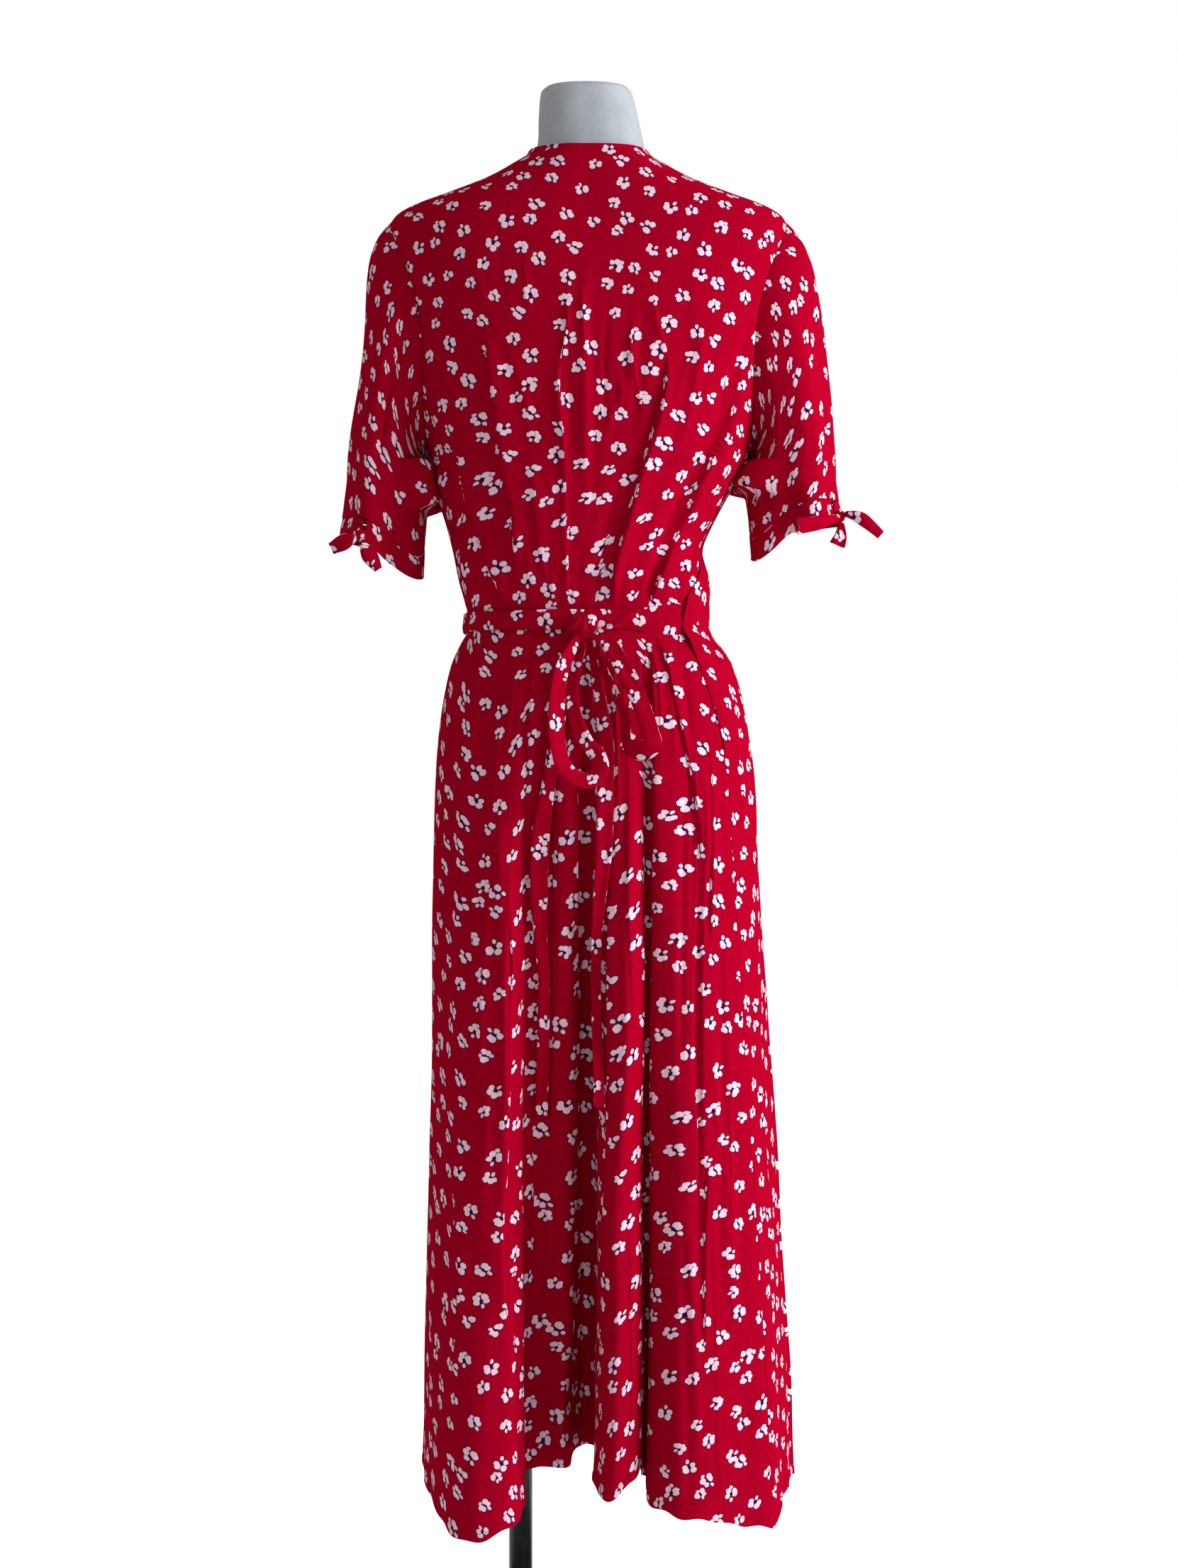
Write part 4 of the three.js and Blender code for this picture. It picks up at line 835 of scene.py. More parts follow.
def belt_points(turn_from, turn_to, steps, off_at, height_at, strips=False):
    """A waist tie's run as a flat tube of doubled cloth round the waist."""
    u = np.linspace(0, 1, steps + 1)[:, None]
    phi = np.linspace(0, TAU, 41)[None, :]
    tall = np.sign(np.cos(phi)) * np.abs(np.cos(phi)) ** 0.85
    out = np.sign(np.sin(phi)) * np.abs(np.sin(phi)) ** 0.8 * TIE_THICK / 2
    base = oval(BODICE_SECTIONS, np.radians(mix(turn_from, turn_to, u)), float(WAIST_Z) + 0 * u)
    along = np.gradient(base[:, 0], axis=0)
    along /= np.linalg.norm(along, axis=-1, keepdims=True)
    normal = np.stack([along[:, 1], -along[:, 0], 0 * along[:, 0]], axis=-1)[:, None]
    low, top = height_at(u)
    run = lengths(base[:, 0][None], 1)[0][:, None]
    crinkle = 0.5 * np.sin(2.8 * tall + run / 38) + 0.25 * np.sin(run / 4.6) * tall
    away = BELT_OFF + TIE_THICK / 2 + 0.55 + off_at(u) + out + crinkle
    if strips:
        cross = smooth((u - 0.3 - 0.12 * tall) / 0.04) - smooth((u - 0.4 - 0.12 * tall) / 0.05)
        split = np.exp(-((tall - 0.15 - 0.25 * u) / 0.16) ** 2) * smooth((u - 0.42) / 0.1)
        away = away + (1.5 * cross - 1.6 * split) * (out > 0)
    points = base + normal * away[..., None]
    points[..., 2] = mix(low, top, (tall + 1) / 2) + 0.5 * np.sin(run / 17 + tall)
    return points


def tube_piece(name, points, shift):
    """A closed tube through a grid whose columns run round it."""
    girth, run = lengths(points, 1), lengths(points, 0)
    return closed_object(name, grid_mesh(points, run * MM + shift[0], girth * MM + shift[1]))


def knot_piece(name, middle, size, pleats, shift):
    """A soft knot: a lump with pleats drawn over it."""
    bm = bmesh.new()
    layer, hem = bm.loops.layers.uv.new("Cut"), bm.verts.layers.float.new("hem")
    bmesh.ops.create_uvsphere(bm, u_segments=96, v_segments=64, radius=0.5)
    for v in bm.verts:
        x, y, z = (c * 2 for c in v.co)
        fan = math.atan2(x, 1.15 - z)
        drawn = math.hypot(x, 1.15 - z)
        pleat = 0.075 * math.sin(pleats * 3 * fan + 1.5 * drawn) * min(1, drawn) * (1 - y * y * 0.2)
        boxed = (abs(x) ** 3 + abs(z) ** 3) ** (1 / 3)
        square = math.hypot(x, z) / boxed if boxed > 1e-6 else 1
        wide = mix(1, square, 0.5) * (0.92 + pleat)
        v.co = [(m + s / 2 * c * k) * MM for m, s, c, k in
                zip(middle, size, (x, y, z), (wide, 0.9 + pleat * 1.6, wide))]
        v[hem] = NO_HEM
    for f in bm.faces:
        f.smooth = True
        for loop in f.loops:
            loop[layer].uv = (loop.vert.co.x * 1.3 + shift[0], loop.vert.co.z + shift[1])
    return finish_object(name, bm)


# Form and stand
def form_points():
    heights = np.unique(np.concatenate([
        np.linspace(FORM_BOTTOM_Z, 1372, 64), np.linspace(1372, 1448, 40),
        np.linspace(1448, NECK_TOP_Z - 3, 24), np.linspace(NECK_TOP_Z - 3, NECK_TOP_Z, 5)]))
    turn = np.linspace(0, TAU, 129)[None, :]
    return oval(FORM_SECTIONS, turn, heights[:, None])


def form_piece():
    points = form_points()
    across = np.linspace(0, FORM_COVER, points.shape[1])
    bm = grid_mesh(points, across, lengths(points, 0) * MM)
    bmesh.ops.remove_doubles(bm, verts=bm.verts, dist=MERGE)
    for top in (False, True):
        rim = [e for e in bm.edges if len(e.link_faces) == 1
               and (e.verts[0].co.z > 1.2) == top]
        cap = bmesh.ops.contextual_create(bm, geom=rim)["faces"]
        for _ in range(4):
            bmesh.ops.inset_region(bm, faces=cap, thickness=0.008, depth=0.0012 if top else 0)
    return finish_object("form_body", bm)


def turned_piece(name, profile, x, sides=72):
    """A body spun round a vertical axis through its radii and heights, closed where it starts
    and ends on the axis or on one inner radius."""
    bm = bmesh.new()
    chain = [bm.verts.new(((x + r) * MM, 0, z * MM)) for r, z in profile]
    edges = [bm.edges.new(pair) for pair in zip(chain, chain[1:])]
    bmesh.ops.spin(bm, geom=chain + edges, cent=(x * MM, 0, 0), axis=(0, 0, 1), angle=TAU,
                   steps=sides, use_merge=True)
    bmesh.ops.remove_doubles(bm, verts=bm.verts, dist=MERGE)
    bmesh.ops.recalc_face_normals(bm, faces=bm.faces)
    for f in bm.faces:
        f.smooth = True
    return finish_object(name, bm)


# Materials
class Nodes:
    """Short calls for the nodes of one tree."""

    def __init__(self, tree):
        self.tree = tree

    def add(self, kind, values=(), **settings):
        node = self.tree.nodes.new(kind)
        for name, value in settings.items():
            setattr(node, name, value)
        for key, value in dict(values).items():
            if isinstance(value, bpy.types.NodeSocket):
                self.tree.links.new(value, node.inputs[key])
            else:
                node.inputs[key].default_value = value
        return node

    def math(self, operation, *values):
        return self.add("ShaderNodeMath", dict(enumerate(values)), operation=operation).outputs[0]

    def vector(self, operation, *values, out=0):
        node = self.add("ShaderNodeVectorMath", dict(enumerate(values)), operation=operation)
        return node.outputs[out]

    def range(self, value, low, high, to_low=0.0, to_high=1.0):
        node = self.add("ShaderNodeMapRange", {0: value, 1: low, 2: high, 3: to_low, 4: to_high})
        return node.outputs[0]

    def mix(self, factor, a, b):
        return self.add("ShaderNodeMix", {0: factor, 6: a, 7: b}, data_type="RGBA").outputs[2]

    def bump(self, shader, height, strength, distance):
        node = self.add("ShaderNodeBump", {"Strength": strength, "Distance": distance,
                                           "Height": height})
        self.tree.links.new(node.outputs[0], shader.inputs["Normal"])


def node_group(name, inputs, outputs):
    tree = bpy.data.node_groups.new(name, "ShaderNodeTree")
    for label, kind, default in inputs:
        socket = tree.interface.new_socket(label, in_out="INPUT", socket_type=kind)
        if default is not None:
            socket.default_value = default
    for label, kind in outputs:
        tree.interface.new_socket(label, in_out="OUTPUT", socket_type=kind)
    nodes = Nodes(tree)
    return tree, nodes, nodes.add("NodeGroupInput").outputs, nodes.add("NodeGroupOutput")


VECTOR, FLOAT = "NodeSocketVector", "NodeSocketFloat"


def petal_group():
    """How far a place lies outside one rounded petal."""
    tree, n, given, out = node_group(
        "Petal", [("Place", VECTOR, None), ("Middle", VECTOR, None), ("Size", VECTOR, (1, 1, 1))],
        [("Distance", FLOAT)])
    q = n.vector("DIVIDE", n.vector("SUBTRACT", given["Place"], given["Middle"]), given["Size"])
    reach = n.math("SUBTRACT", n.vector("LENGTH", q, out=1), 1.0)
    wide = n.add("ShaderNodeSeparateXYZ", {0: given["Size"]}).outputs[0]
    tree.links.new(n.math("MULTIPLY", reach, wide), out.inputs["Distance"])
    return tree


# One flower in millimetres: two double wings and up to two small petals
PETALS = (
    ((-3.1, 1.7), (2.7, 2.6)), ((-3.5, -1.6), (2.3, 2.2)),
    ((3.0, 2.1), (2.6, 2.7)), ((3.7, -1.2), (2.3, 2.1)),
    ((0.5, -4.9), (1.4, 2.0)), ((-0.6, 5.0), (1.9, 1.4)),
)


def flower_group():
    """Scattered small flowers: masks of their petals and of the dark lines round them."""
    tree, n, given, out = node_group(
        "Scattered flowers",
        [("Cut", VECTOR, None), ("Spacing", FLOAT, 0.0245), ("Line", FLOAT, 0.55)],
        [("Petals", FLOAT), ("Lines", FLOAT)])
    petal = petal_group()
    slow = n.add("ShaderNodeTexNoise", {"Vector": given["Cut"], "Scale": 11.0, "Detail": 0.0})
    sway = n.vector("SCALE", n.vector("SUBTRACT", slow.outputs["Color"], (0.5, 0.5, 0.5)))
    sway.node.inputs["Scale"].default_value = 0.012
    place = n.vector("ADD", n.add("ShaderNodeVectorRotate", {
        "Vector": given["Cut"], "Angle": PRINT_TURN}, rotation_type="Z_AXIS").outputs[0], sway)
    cells = n.add("ShaderNodeTexVoronoi", {
        "Vector": place, "Scale": n.math("DIVIDE", 1.0, given["Spacing"]), "Randomness": 0.56},
        voronoi_dimensions="2D", feature="F1")
    pick = cells.outputs["Color"]
    channel = n.add("ShaderNodeSeparateColor", {0: pick}).outputs
    local = n.vector("SCALE", n.vector("SUBTRACT", place, cells.outputs["Position"]))
    size = n.range(channel[1], 0.0, 1.0, 845.0, 1080.0)
    tree.links.new(size, local.node.inputs["Scale"])
    lean = n.range(channel[0], 0.0, 1.0, -PRINT_TURN - FLOWER_LEAN, -PRINT_TURN + FLOWER_LEAN)
    half_turn = n.math("MULTIPLY", n.math("GREATER_THAN", channel[2], 0.5), math.pi)
    turned = n.add("ShaderNodeVectorRotate", {
        "Vector": local, "Angle": n.math("ADD", lean, half_turn)},
        rotation_type="Z_AXIS").outputs[0]
    rough = n.add("ShaderNodeTexNoise", {"Vector": given["Cut"], "Scale": 260.0, "Detail": 1.0})
    wobble = n.vector("SCALE", n.vector("SUBTRACT", rough.outputs["Color"], (0.5, 0.5, 0.5)))
    wobble.node.inputs["Scale"].default_value = 1.5
    turned = n.vector("ADD", turned, wobble)
    flat = n.vector("MULTIPLY", turned, (1, 1, 0))
    shift = n.vector("MULTIPLY", n.vector("SUBTRACT", pick, (0.5, 0.5, 0.5)), (1.6, 1.8, 0))
    nearest = None
    for k, (middle, reach) in enumerate(PETALS):
        sign = (1, -1, -0.6, 0.8, -1, 1)[k]
        moved = n.vector("MULTIPLY_ADD", shift, (sign, -sign, 0), (*middle, 0))
        far = n.add("ShaderNodeGroup", {}, node_tree=petal)
        tree.links.new(flat, far.inputs["Place"])
        tree.links.new(moved, far.inputs["Middle"])
        far.inputs["Size"].default_value = (*reach, 1)
        d = far.outputs[0]
        if k == 5:
            d = n.math("ADD", d, n.math("MULTIPLY", n.math("GREATER_THAN", channel[2], 0.5), 9.0))
        nearest = d if nearest is None else n.math("MINIMUM", nearest, d)
    tree.links.new(n.range(nearest, 0.14, -0.14), out.inputs["Petals"])
    outside = n.math("SUBTRACT", nearest, given["Line"])
    centre = n.add("ShaderNodeGroup", {}, node_tree=petal)
    tree.links.new(flat, centre.inputs["Place"])
    centre.inputs["Middle"].default_value = (0.1, -0.6, 0)
    centre.inputs["Size"].default_value = (1.5, 2.4, 1)
    outside = n.math("MINIMUM", outside, centre.outputs[0])
    tree.links.new(n.range(outside, 0.15, -0.15), out.inputs["Lines"])
    return tree


def crepe_group():
    """The fine pebbled face of crepe as a height, and its faint streaks as a shade."""
    tree, n, given, out = node_group(
        "Crepe face", [("Cut", VECTOR, None), ("Grain", FLOAT, 1500.0)],
        [("Height", FLOAT), ("Shade", FLOAT)])
    grain = n.add("ShaderNodeTexNoise", {
        "Vector": given["Cut"], "Scale": given["Grain"], "Detail": 2.0}).outputs["Fac"]
    long = n.vector("MULTIPLY", given["Cut"], (1.0, 0.12, 1.0))
    streak = n.add("ShaderNodeTexNoise", {
        "Vector": long, "Scale": 900.0, "Detail": 2.0}).outputs["Fac"]
    tree.links.new(n.math("ADD", grain, n.math("MULTIPLY", streak, 0.6)), out.inputs["Height"])
    tree.links.new(streak, out.inputs["Shade"])
    return tree


def new_material(name, colour):
    material = bpy.data.materials.new(name)
    material.use_nodes = True
    material.diffuse_color = (*colour, 1)
    tree = material.node_tree
    shader = next(node for node in tree.nodes if node.type == "BSDF_PRINCIPLED")
    return material, Nodes(tree), shader


def set_inputs(node, values):
    for name, value in values.items():
        node.inputs[name].default_value = value


def dimmed(colour, share):
    """A colour with the share left of its light, as a socket's value."""
    return (*[c * share for c in colour], 1)


def printed_crepe(settings):
    material, n, shader = new_material("Printed crepe", settings.ground)
    cut = n.add("ShaderNodeUVMap", uv_map="Cut").outputs[0]
    flowers = n.add("ShaderNodeGroup", {}, node_tree=flower_group())
    face = n.add("ShaderNodeGroup", {}, node_tree=crepe_group())
    for node in (flowers, face):
        n.tree.links.new(cut, node.inputs["Cut"])
    flowers.inputs["Spacing"].default_value = settings.flower_spacing
    hem = n.add("ShaderNodeAttribute", attribute_name="hem").outputs["Fac"]
    ground = n.mix(n.range(face.outputs["Shade"], 0.3, 0.7), dimmed(settings.ground, 0.8),
                   dimmed(settings.ground, 1))
    lined = n.mix(flowers.outputs["Lines"], ground, dimmed(settings.line, 1))
    petal = n.mix(n.range(face.outputs["Shade"], 0.35, 0.7), dimmed(settings.petal, 0.8),
                  dimmed(settings.petal, 1))
    printed = n.mix(flowers.outputs["Petals"], lined, petal)
    distance = n.math("ABSOLUTE", n.math("SUBTRACT", hem, STITCH_LINE))
    stitch = n.range(distance, 0.5, 0.3)
    along = n.add("ShaderNodeSeparateXYZ", {0: cut}).outputs[0]
    dashes = n.math("GREATER_THAN", n.math("FRACT", n.math("MULTIPLY", along, 380.0)), 0.35)
    thread = n.math("MULTIPLY", n.math("MULTIPLY", stitch, dashes), 0.6)
    n.tree.links.new(n.mix(thread, printed, dimmed(settings.ground, 0.55)),
                     shader.inputs["Base Color"])
    height = n.math("SUBTRACT", face.outputs["Height"], n.math("MULTIPLY", stitch, 1.2))
    n.bump(shader, height, 0.35, 0.0002)
    set_inputs(shader, {"Roughness": 0.62, "Specular IOR Level": 0.0, "Sheen Weight": 0.2,
                        "Sheen Roughness": 0.4, "Sheen Tint": (1.0, 0.02, 0.08, 1)})
    return material


def form_jersey(settings):
    material, n, shader = new_material("Form jersey", settings.jersey)
    cut = n.add("ShaderNodeUVMap", uv_map="Cut").outputs[0]
    wale = n.add("ShaderNodeSeparateXYZ", {0: cut}).outputs
    ribs = n.math("SINE", n.math("MULTIPLY", wale[0], TAU / 0.0013))
    loops = n.math("SINE", n.math("MULTIPLY", wale[1], TAU / 0.0011))
    knit = n.math("ADD", ribs, n.math("MULTIPLY", loops, 0.35))
    cloud = n.add("ShaderNodeTexNoise", {"Vector": cut, "Scale": 40.0, "Detail": 3.0})
    # Painted shade: the colour is lighter on the rib crests and darker in the rib hollows, and it
    # also varies with a random cloudy tone.
    shade = n.range(n.math("ADD", n.math("MULTIPLY", ribs, 0.1), cloud.outputs["Fac"]), 0.3, 0.7)
    n.tree.links.new(n.mix(shade, dimmed(settings.jersey, 0.86), dimmed(settings.jersey, 1)),
                     shader.inputs["Base Color"])
    n.bump(shader, knit, 0.5, 0.0002)
    set_inputs(shader, {"Roughness": 0.8, "Sheen Weight": 0.2})
    return material


def black_steel(settings):
    material, n, shader = new_material("Black steel", settings.steel)
    place = n.add("ShaderNodeTexCoord").outputs["Object"]
    dust = n.add("ShaderNodeTexNoise", {"Vector": place, "Scale": 60.0, "Detail": 4.0})
    grain = n.add("ShaderNodeTexNoise", {"Vector": place, "Scale": 900.0, "Detail": 2.0})
    worn = tuple(c * 2.2 + 0.004 for c in settings.steel)
    n.tree.links.new(n.mix(n.range(dust.outputs["Fac"], 0.5, 0.8), dimmed(settings.steel, 1),
                           dimmed(worn, 1)), shader.inputs["Base Color"])
    n.tree.links.new(n.range(dust.outputs["Fac"], 0.3, 0.8, 0.32, 0.5),
                     shader.inputs["Roughness"])
    n.bump(shader, grain.outputs["Fac"], 0.15, 0.0001)
    set_inputs(shader, {"Coat Weight": 0.25})
    return material


MADE = {}


def material_of(kind):
    """The material of a slot, made once from its settings."""
    if kind not in MADE:
        scene = bpy.context.scene
        MADE[kind] = {"crepe": lambda: printed_crepe(scene.dress_cloth),
                      "jersey": lambda: form_jersey(scene.dress_stand),
                      "steel": lambda: black_steel(scene.dress_stand)}[kind]()
    return MADE[kind]


# Settings
class DressClothSettings(bpy.types.PropertyGroup):
    """Cloth of the dress."""

    thickness: FloatProperty(name="Thickness", description="Thickness of the cloth's shell, mm",
                             default=0.8, min=0.3, max=2.0)
    fold_depth: FloatProperty(name="Small waves", description="Depth of the small waves",
                              default=1.0, min=0.0, max=2.0)
    flower_spacing: FloatProperty(name="Flower spacing", description="Spacing of the print",
                                  default=0.0262, unit="LENGTH")
    ground: FloatVectorProperty(name="Ground", description="Red of the cloth",
                                default=(0.385, 0.0003, 0.0165), subtype="COLOR")
    petal: FloatVectorProperty(name="Petals", description="Off-white of the petals",
                               default=(0.95, 0.63, 0.74), subtype="COLOR")
    line: FloatVectorProperty(name="Lines", description="Dark lines of the flowers",
                              default=(0.035, 0.003, 0.03), subtype="COLOR")


class DressStandSettings(bpy.types.PropertyGroup):
    """Form and stand under the dress."""

    jersey: FloatVectorProperty(name="Jersey", description="Cover of the form",
                                default=(0.44, 0.46, 0.49), subtype="COLOR")
    steel: FloatVectorProperty(name="Steel", description="Enamel of the stand",
                               default=(0.012, 0.012, 0.013), subtype="COLOR")


class DressStageSettings(bpy.types.PropertyGroup):
    """Camera, light and floor."""

    distance: FloatProperty(name="Camera distance", description="From the pole to the camera",
                            default=3.0, unit="LENGTH")
    height: FloatProperty(name="Camera height", description="Height of the camera",
                          default=0.86, unit="LENGTH")
    lens: FloatProperty(name="Lens", description="Focal length on a 36 mm sensor, mm",
                        default=72.9)
    ambient: FloatProperty(name="Room light", description="Light from all round", default=0.5)
    key: FloatProperty(name="Key light", description="Power of the key light, W", default=135.0)


# Operators
BUILT = {}


class DRESS_OT_bodice(bpy.types.Operator):
    """Build the back and the two wrapped fronts of the bodice"""

    bl_idname = "dress.bodice"
    bl_label = "Bodice"

    def execute(self, context):
        cloth = context.scene.dress_cloth
        crepe = material_of("crepe")
        points, hidden = back_bodice(cloth)
        back = cloth_object("bodice_back_cloth", points, thick=cloth.thickness, shift=(0.3, 1.2),
                            tucked=hidden)
        dress(back, "bodice_back", crepe)
        for side, outer, shift in (("right", True, (3.1, 1.7)), ("left", False, (5.3, 0.6))):
            piece = cloth_object("bodice_front_" + side + "_cloth", front_bodice(outer, cloth),
                                 thick=cloth.thickness, shift=shift)
            dress(piece, "bodice_front_" + side, crepe)
        return {"FINISHED"}


class DRESS_OT_skirt(bpy.types.Operator):
    """Build the back and the two wrapped fronts of the skirt"""

    bl_idname = "dress.skirt"
    bl_label = "Skirt"

    def execute(self, context):
        cloth = context.scene.dress_cloth
        crepe = material_of("crepe")
        last = len(SKIRT_FOLDS["turn"])
        back = skirt_panel(0, RIGHT_SEAM_ROW, 396, 118, lambda u: 0 * u, cloth, back=True)
        right = skirt_panel(RIGHT_SEAM_ROW, OUTER_EDGE_ROW, 190, 104,
                            lambda u: WRAP_LIFT * smooth(u), cloth, outer=True)
        left = skirt_panel(INNER_EDGE_ROW, last, 160, 104,
                           lambda u: -WRAP_LIFT * smooth(1 - u), cloth)
        BUILT["skirt"] = back[0]
        for name, (points, hidden), flat, shift in (
                ("skirt_back", back, (0.86, 0.83), (0.7, 2.4)),
                ("skirt_front_right", right, (0.74, 0.83), (7.2, 0.9)),
                ("skirt_front_left", left, (0.6, 0.83), (9.4, 2.2))):
            piece = cloth_object(name + "_cloth", points, thick=cloth.thickness, shift=shift,
                                 stitched=True, tucked=hidden)
            dress(piece, name, crepe)
        return {"FINISHED"}


class DRESS_OT_sleeves(bpy.types.Operator):
    """Build the sleeves and the bands round their ends"""

    bl_idname = "dress.sleeves"
    bl_label = "Sleeves"

    def execute(self, context):
        cloth = context.scene.dress_cloth
        crepe = material_of("crepe")
        for side, shift in (("right", (11.1, 0.4)), ("left", (13.6, 1.9))):
            points, straight = sleeve_points(side)
            piece = cloth_object("sleeve_" + side + "_cloth", points, tube=True,
                                 thick=cloth.thickness, shift=shift, straight=straight)
            dress(piece, "sleeve_" + side, crepe)
            band = cloth_object("cuff_band_" + side + "_cloth", band_points(side), thick=BAND_CLOTH,
                                shift=(shift[0] + 1, shift[1] + 0.5))
            dress(band, "cuff_band_" + side, crepe)
        return {"FINISHED"}


class DRESS_OT_cuff_ties(bpy.types.Operator):
    """Build the small knots and ends that tie the cuffs"""

    bl_idname = "dress.cuff_ties"
    bl_label = "Cuff ties"

    def execute(self, context):
        crepe = material_of("crepe")
        for side, ends in CUFF_TIES.items():
            s = SLEEVES[side]
            turn = np.array([[s["slit"] / 20 * TAU]])
            share = band_share(side, turn)
            step = np.array([[0.002]])

            def on_band(t, v):
                return sleeve_place(side, t, share * v)[0, 0]

            across = on_band(turn + step, 0.3) - on_band(turn - step, 0.3)
            out = np.array([across[1], -across[0], 0.0])
            out /= np.linalg.norm(out)
            middle = on_band(turn, 0.3) + out * (CUFF_KNOT[0] / 2 + 0.3)
            flip = np.array([s["sign"], 1, 1])
            knot = knot_piece("cuff_knot_" + side + "_cloth", middle * flip, CUFF_KNOT, 3,
                              (15 + s["sign"], 0.3))
            dress(knot, "cuff_knot_" + side, crepe)
            for k, (wide, cut, path) in enumerate(ends, 1):
                placed = {c: (path[c] + middle[i]) * flip[i] for i, c in enumerate("xyz")}
                placed["wide"] = path["wide"]
                shorten(placed, 0, CUFF_TIE_START)
                name = "cuff_tie_" + side + "_" + str(k)
                piece = strip_piece(name + "_cloth", placed, np.array(wide) * flip, 30, 16, 1.7,
                                    (17 + k, 1.3 * s["sign"]), k + 5, 2.2)
                dress(piece, name, crepe)
        return {"FINISHED"}


class DRESS_OT_waist_tie(bpy.types.Operator):
    """Build the tie round the waist and its bow"""

    bl_idname = "dress.waist_tie"
    bl_label = "Waist tie and bow"

    def execute(self, context):
        crepe = material_of("crepe")

        def plain(u):
            return BELT_LOW_Z + 0 * u, BELT_TOP_Z + 0 * u

        def bunched(u):
            wide = smooth((u - 0.35) / 0.5)
            return BELT_LOW_Z - 7 * wide, BELT_TOP_Z + 6 * wide

        left = belt_points(OUTER_EDGE_TURN, 267.4, 190,
                           lambda u: (WRAP_LIFT + 0.4) * smooth(1 - 2 * u), plain)
        right = belt_points(268, 360 + RIGHT_SEAM_TURN + 1.6, 120, lambda u: 0 * u, bunched, True)
        for side, points, cut in (("left", left, (0.02, 0.25)), ("right", right, (0.025, 0.115))):
            piece = tube_piece("tie_" + side + "_run_cloth", points, (19.3, 0.31))
            dress(piece, "tie_" + side + "_run", crepe)
        knot = knot_piece("bow_knot_cloth", KNOT, KNOT_SIZE, 4, (21.2, 0.12))
        dress(knot, "bow_knot", crepe)
        skirt = BUILT["skirt"].reshape(-1, 3)
        for name, path, across, steps, cut, seed in (
                ("bow_left_loop", LEFT_LOOP, (0.8, 0.55, 0.1), 120, (0.016, 0.31), 3),
                ("bow_right_loop", RIGHT_LOOP, (0.8, 0, 0.6), 100, (0.018, 0.25), 4),
                ("tie_left_tail", LEFT_TAIL, (1, 0, 0), 110, (0.013, 0.46), 7),
                ("tie_right_tail", RIGHT_TAIL, (1, 0, 0), 110, (0.013, 0.45), 9)):
            path = {c: path[c].copy() for c in path}
            if name.endswith("tail"):
                path = rest_on(path, skirt)
            shorten(path, 0, BOW_START)
            if name.endswith("loop"):
                shorten(path, -1, LOOP_END)
            piece = strip_piece(name + "_cloth", path, across, steps, 22, 2.0,
                                (23 + seed, 0.2), seed)
            dress(piece, name, crepe)
        return {"FINISHED"}


def shorten(path, end, by):
    """Take a length off a path's first (0) or last (-1) stretch."""
    inner = 1 if end == 0 else -2
    towards = np.array([path[c][inner] - path[c][end] for c in "xyz"])
    towards /= np.linalg.norm(towards)
    for c, step in zip("xyz", towards):
        path[c][end] += step * by


def rest_on(path, cloth):
    """A tie's tail with its lower part laid on the cloth behind it, from more rows."""
    heights = np.concatenate([path["z"][:3], np.linspace(path["z"][3], path["z"][-1], 14)])
    order = np.argsort(path["z"])
    laid = {c: np.interp(heights, path["z"][order], path[c][order]) for c in ("x", "y", "wide")}
    laid["z"] = heights
    for k in range(3, len(heights)):
        near = (np.abs(cloth[:, 0] - laid["x"][k]) < 8) & (np.abs(cloth[:, 2] - heights[k]) < 14)
        near &= cloth[:, 1] < -60
        if near.any():
            laid["y"][k] = cloth[near, 1].min() - LAID_GAP
    laid["y"][3:] = np.convolve(np.pad(laid["y"][3:], 1, mode="edge"), [0.25, 0.5, 0.25], "valid")
    return laid


class DRESS_OT_form(bpy.types.Operator):
    """Build the limbless form with its neck"""

    bl_idname = "dress.form"
    bl_label = "Form"

    def execute(self, context):
        dress(form_piece(), "form_torso", material_of("jersey"))
        return {"FINISHED"}


class DRESS_OT_stand(bpy.types.Operator):
    """Build the collar, the pole, the socket and the foot"""

    bl_idname = "dress.stand"
    bl_label = "Stand"

    def execute(self, context):
        inner = POLE_RADIUS + 2 * SEAM_GAP
        low, top = FOOT_THICK + SEAM_GAP, FORM_BOTTOM_Z - SEAM_GAP
        profiles = {
            "pole_collar": (POLE_X, [(inner, 706), (16, 706), (17.4, 707), (20, 710), (20, 735),
                                     (21, 736.5), (33, 738.8), (34, 740), (34, top), (inner, top),
                                     (inner, 706)]),
            "pole": (POLE_X, [(0, low), (POLE_RADIUS, low), (POLE_RADIUS, top), (0, top)]),
            "pole_socket": (POLE_X, [(inner, low), (42, low), (42, 11.2), (41, 12.2), (22, 14.8),
                                     (20, 16), (18.4, 20), (18, 43), (17, 44), (inner, 44),
                                     (inner, low)]),
            "stand_foot": (0, [(0, 0), (FOOT_RADIUS - 2, 0), (FOOT_RADIUS - 0.6, 0.6),
                               (FOOT_RADIUS, 2), (FOOT_RADIUS, 6), (FOOT_RADIUS - 0.6, 7.4),
                               (FOOT_RADIUS - 2, 8), (0, 8)]),
        }
        for node, (x, profile) in profiles.items():
            piece = turned_piece(node + "_metal", profile, x, 160 if x == 0 else 72)
            dress(piece, node, material_of("steel"))
        return {"FINISHED"}


def area_light(name, power, size, place, aim, tint):
    light = bpy.data.lights.new(name, "AREA")
    light.energy, light.size, light.color = power, size, tint
    lamp = bpy.data.objects.new(name, light)
    lamp.location = place
    towards = Vector(aim) - Vector(place)
    lamp.rotation_euler = towards.to_track_quat("-Z", "Y").to_euler()
    bpy.context.scene.collection.objects.link(lamp)


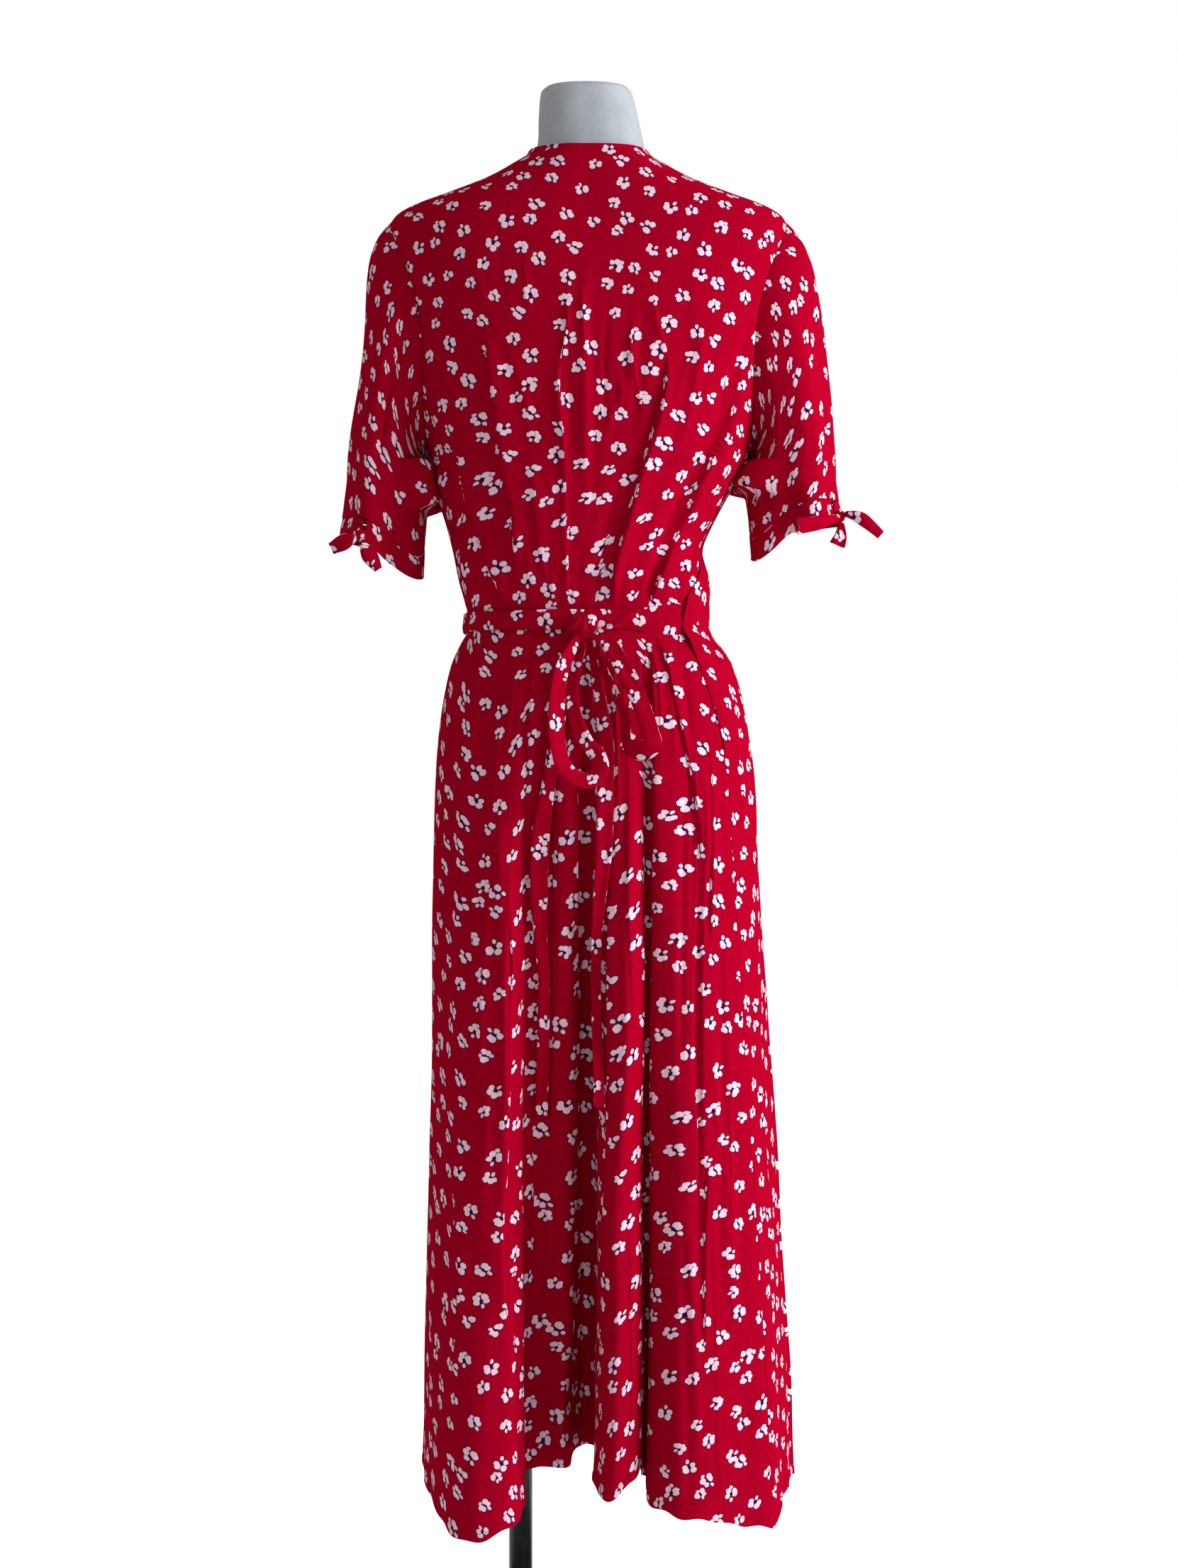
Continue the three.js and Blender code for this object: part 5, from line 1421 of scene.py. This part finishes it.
class DRESS_OT_stage(bpy.types.Operator):
    """Set up the floor, the backdrop, the lights and the camera"""

    bl_idname = "dress.stage"
    bl_label = "Stage"

    def execute(self, context):
        stage, scene = context.scene.dress_stage, context.scene
        bm = bmesh.new()
        bmesh.ops.create_grid(bm, x_segments=1, y_segments=1, size=9)
        floor = finish_object("floor", bm)
        material, n, shader = new_material("Pale paper", (0.9, 0.9, 0.9))
        speck = n.add("ShaderNodeTexNoise", {"Scale": 30.0, "Detail": 2.0})
        n.tree.links.new(n.mix(n.range(speck.outputs["Fac"], 0.3, 0.7), (0.86, 0.86, 0.86, 1),
                               (0.90, 0.90, 0.90, 1)), shader.inputs["Base Color"])
        set_inputs(shader, {"Roughness": 0.9, "Emission Color": (1, 1, 1, 1)})
        seen = n.add("ShaderNodeLightPath").outputs["Is Camera Ray"]
        n.tree.links.new(n.math("MULTIPLY", seen, 0.8), shader.inputs["Emission Strength"])
        floor.data.materials.append(material)
        world = bpy.data.worlds.new("Studio")
        world.use_nodes = True
        n = Nodes(world.node_tree)
        sky = world.node_tree.nodes["Background"]
        sky.inputs["Color"].default_value = (1, 1, 1, 1)
        seen = n.add("ShaderNodeLightPath").outputs["Is Camera Ray"]
        n.tree.links.new(n.range(seen, 0.0, 1.0, stage.ambient, 1.0), sky.inputs["Strength"])
        scene.world = world
        scene.view_settings.view_transform = "Standard"
        area_light("Key", stage.key, 1.4, (3.1, -1.1, 1.75), (0, 0, 0.9), (0.90, 0.97, 1.0))
        camera = bpy.data.cameras.new("Camera")
        camera.lens = stage.lens
        camera.sensor_width = 36
        eye = bpy.data.objects.new("Camera", camera)
        eye.location = (0, -stage.distance, stage.height)
        eye.rotation_euler = (math.pi / 2, 0, 0)
        scene.collection.objects.link(eye)
        scene.camera = eye
        return {"FINISHED"}


class DRESS_PT_panel(bpy.types.Panel):
    """Lists the dress's settings and pieces"""

    bl_label = "Wrap dress"
    bl_idname = "DRESS_PT_panel"
    bl_space_type = "VIEW_3D"
    bl_region_type = "UI"
    bl_category = "Dress"

    def draw(self, context):
        for group in SETTINGS:
            for name in SETTINGS[group].__annotations__:
                self.layout.prop(getattr(context.scene, group), name)
        for operator in OPERATORS:
            self.layout.operator(operator.bl_idname)


OPERATORS = (DRESS_OT_stage, DRESS_OT_form, DRESS_OT_stand, DRESS_OT_bodice, DRESS_OT_skirt,
             DRESS_OT_sleeves, DRESS_OT_cuff_ties, DRESS_OT_waist_tie)
SETTINGS = {"dress_cloth": DressClothSettings, "dress_stand": DressStandSettings,
            "dress_stage": DressStageSettings}
CLASSES = (*SETTINGS.values(), *OPERATORS, DRESS_PT_panel)


def register():
    for c in CLASSES:
        bpy.utils.register_class(c)
    for name, kind in SETTINGS.items():
        setattr(bpy.types.Scene, name, PointerProperty(type=kind))


def unregister():
    for name in SETTINGS:
        delattr(bpy.types.Scene, name)
    for c in reversed(CLASSES):
        bpy.utils.unregister_class(c)


def main():
    register()
    for operator in OPERATORS:
        group, name = operator.bl_idname.split(".")
        getattr(getattr(bpy.ops, group), name)()
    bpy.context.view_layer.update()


if __name__ == "__main__":
    main()
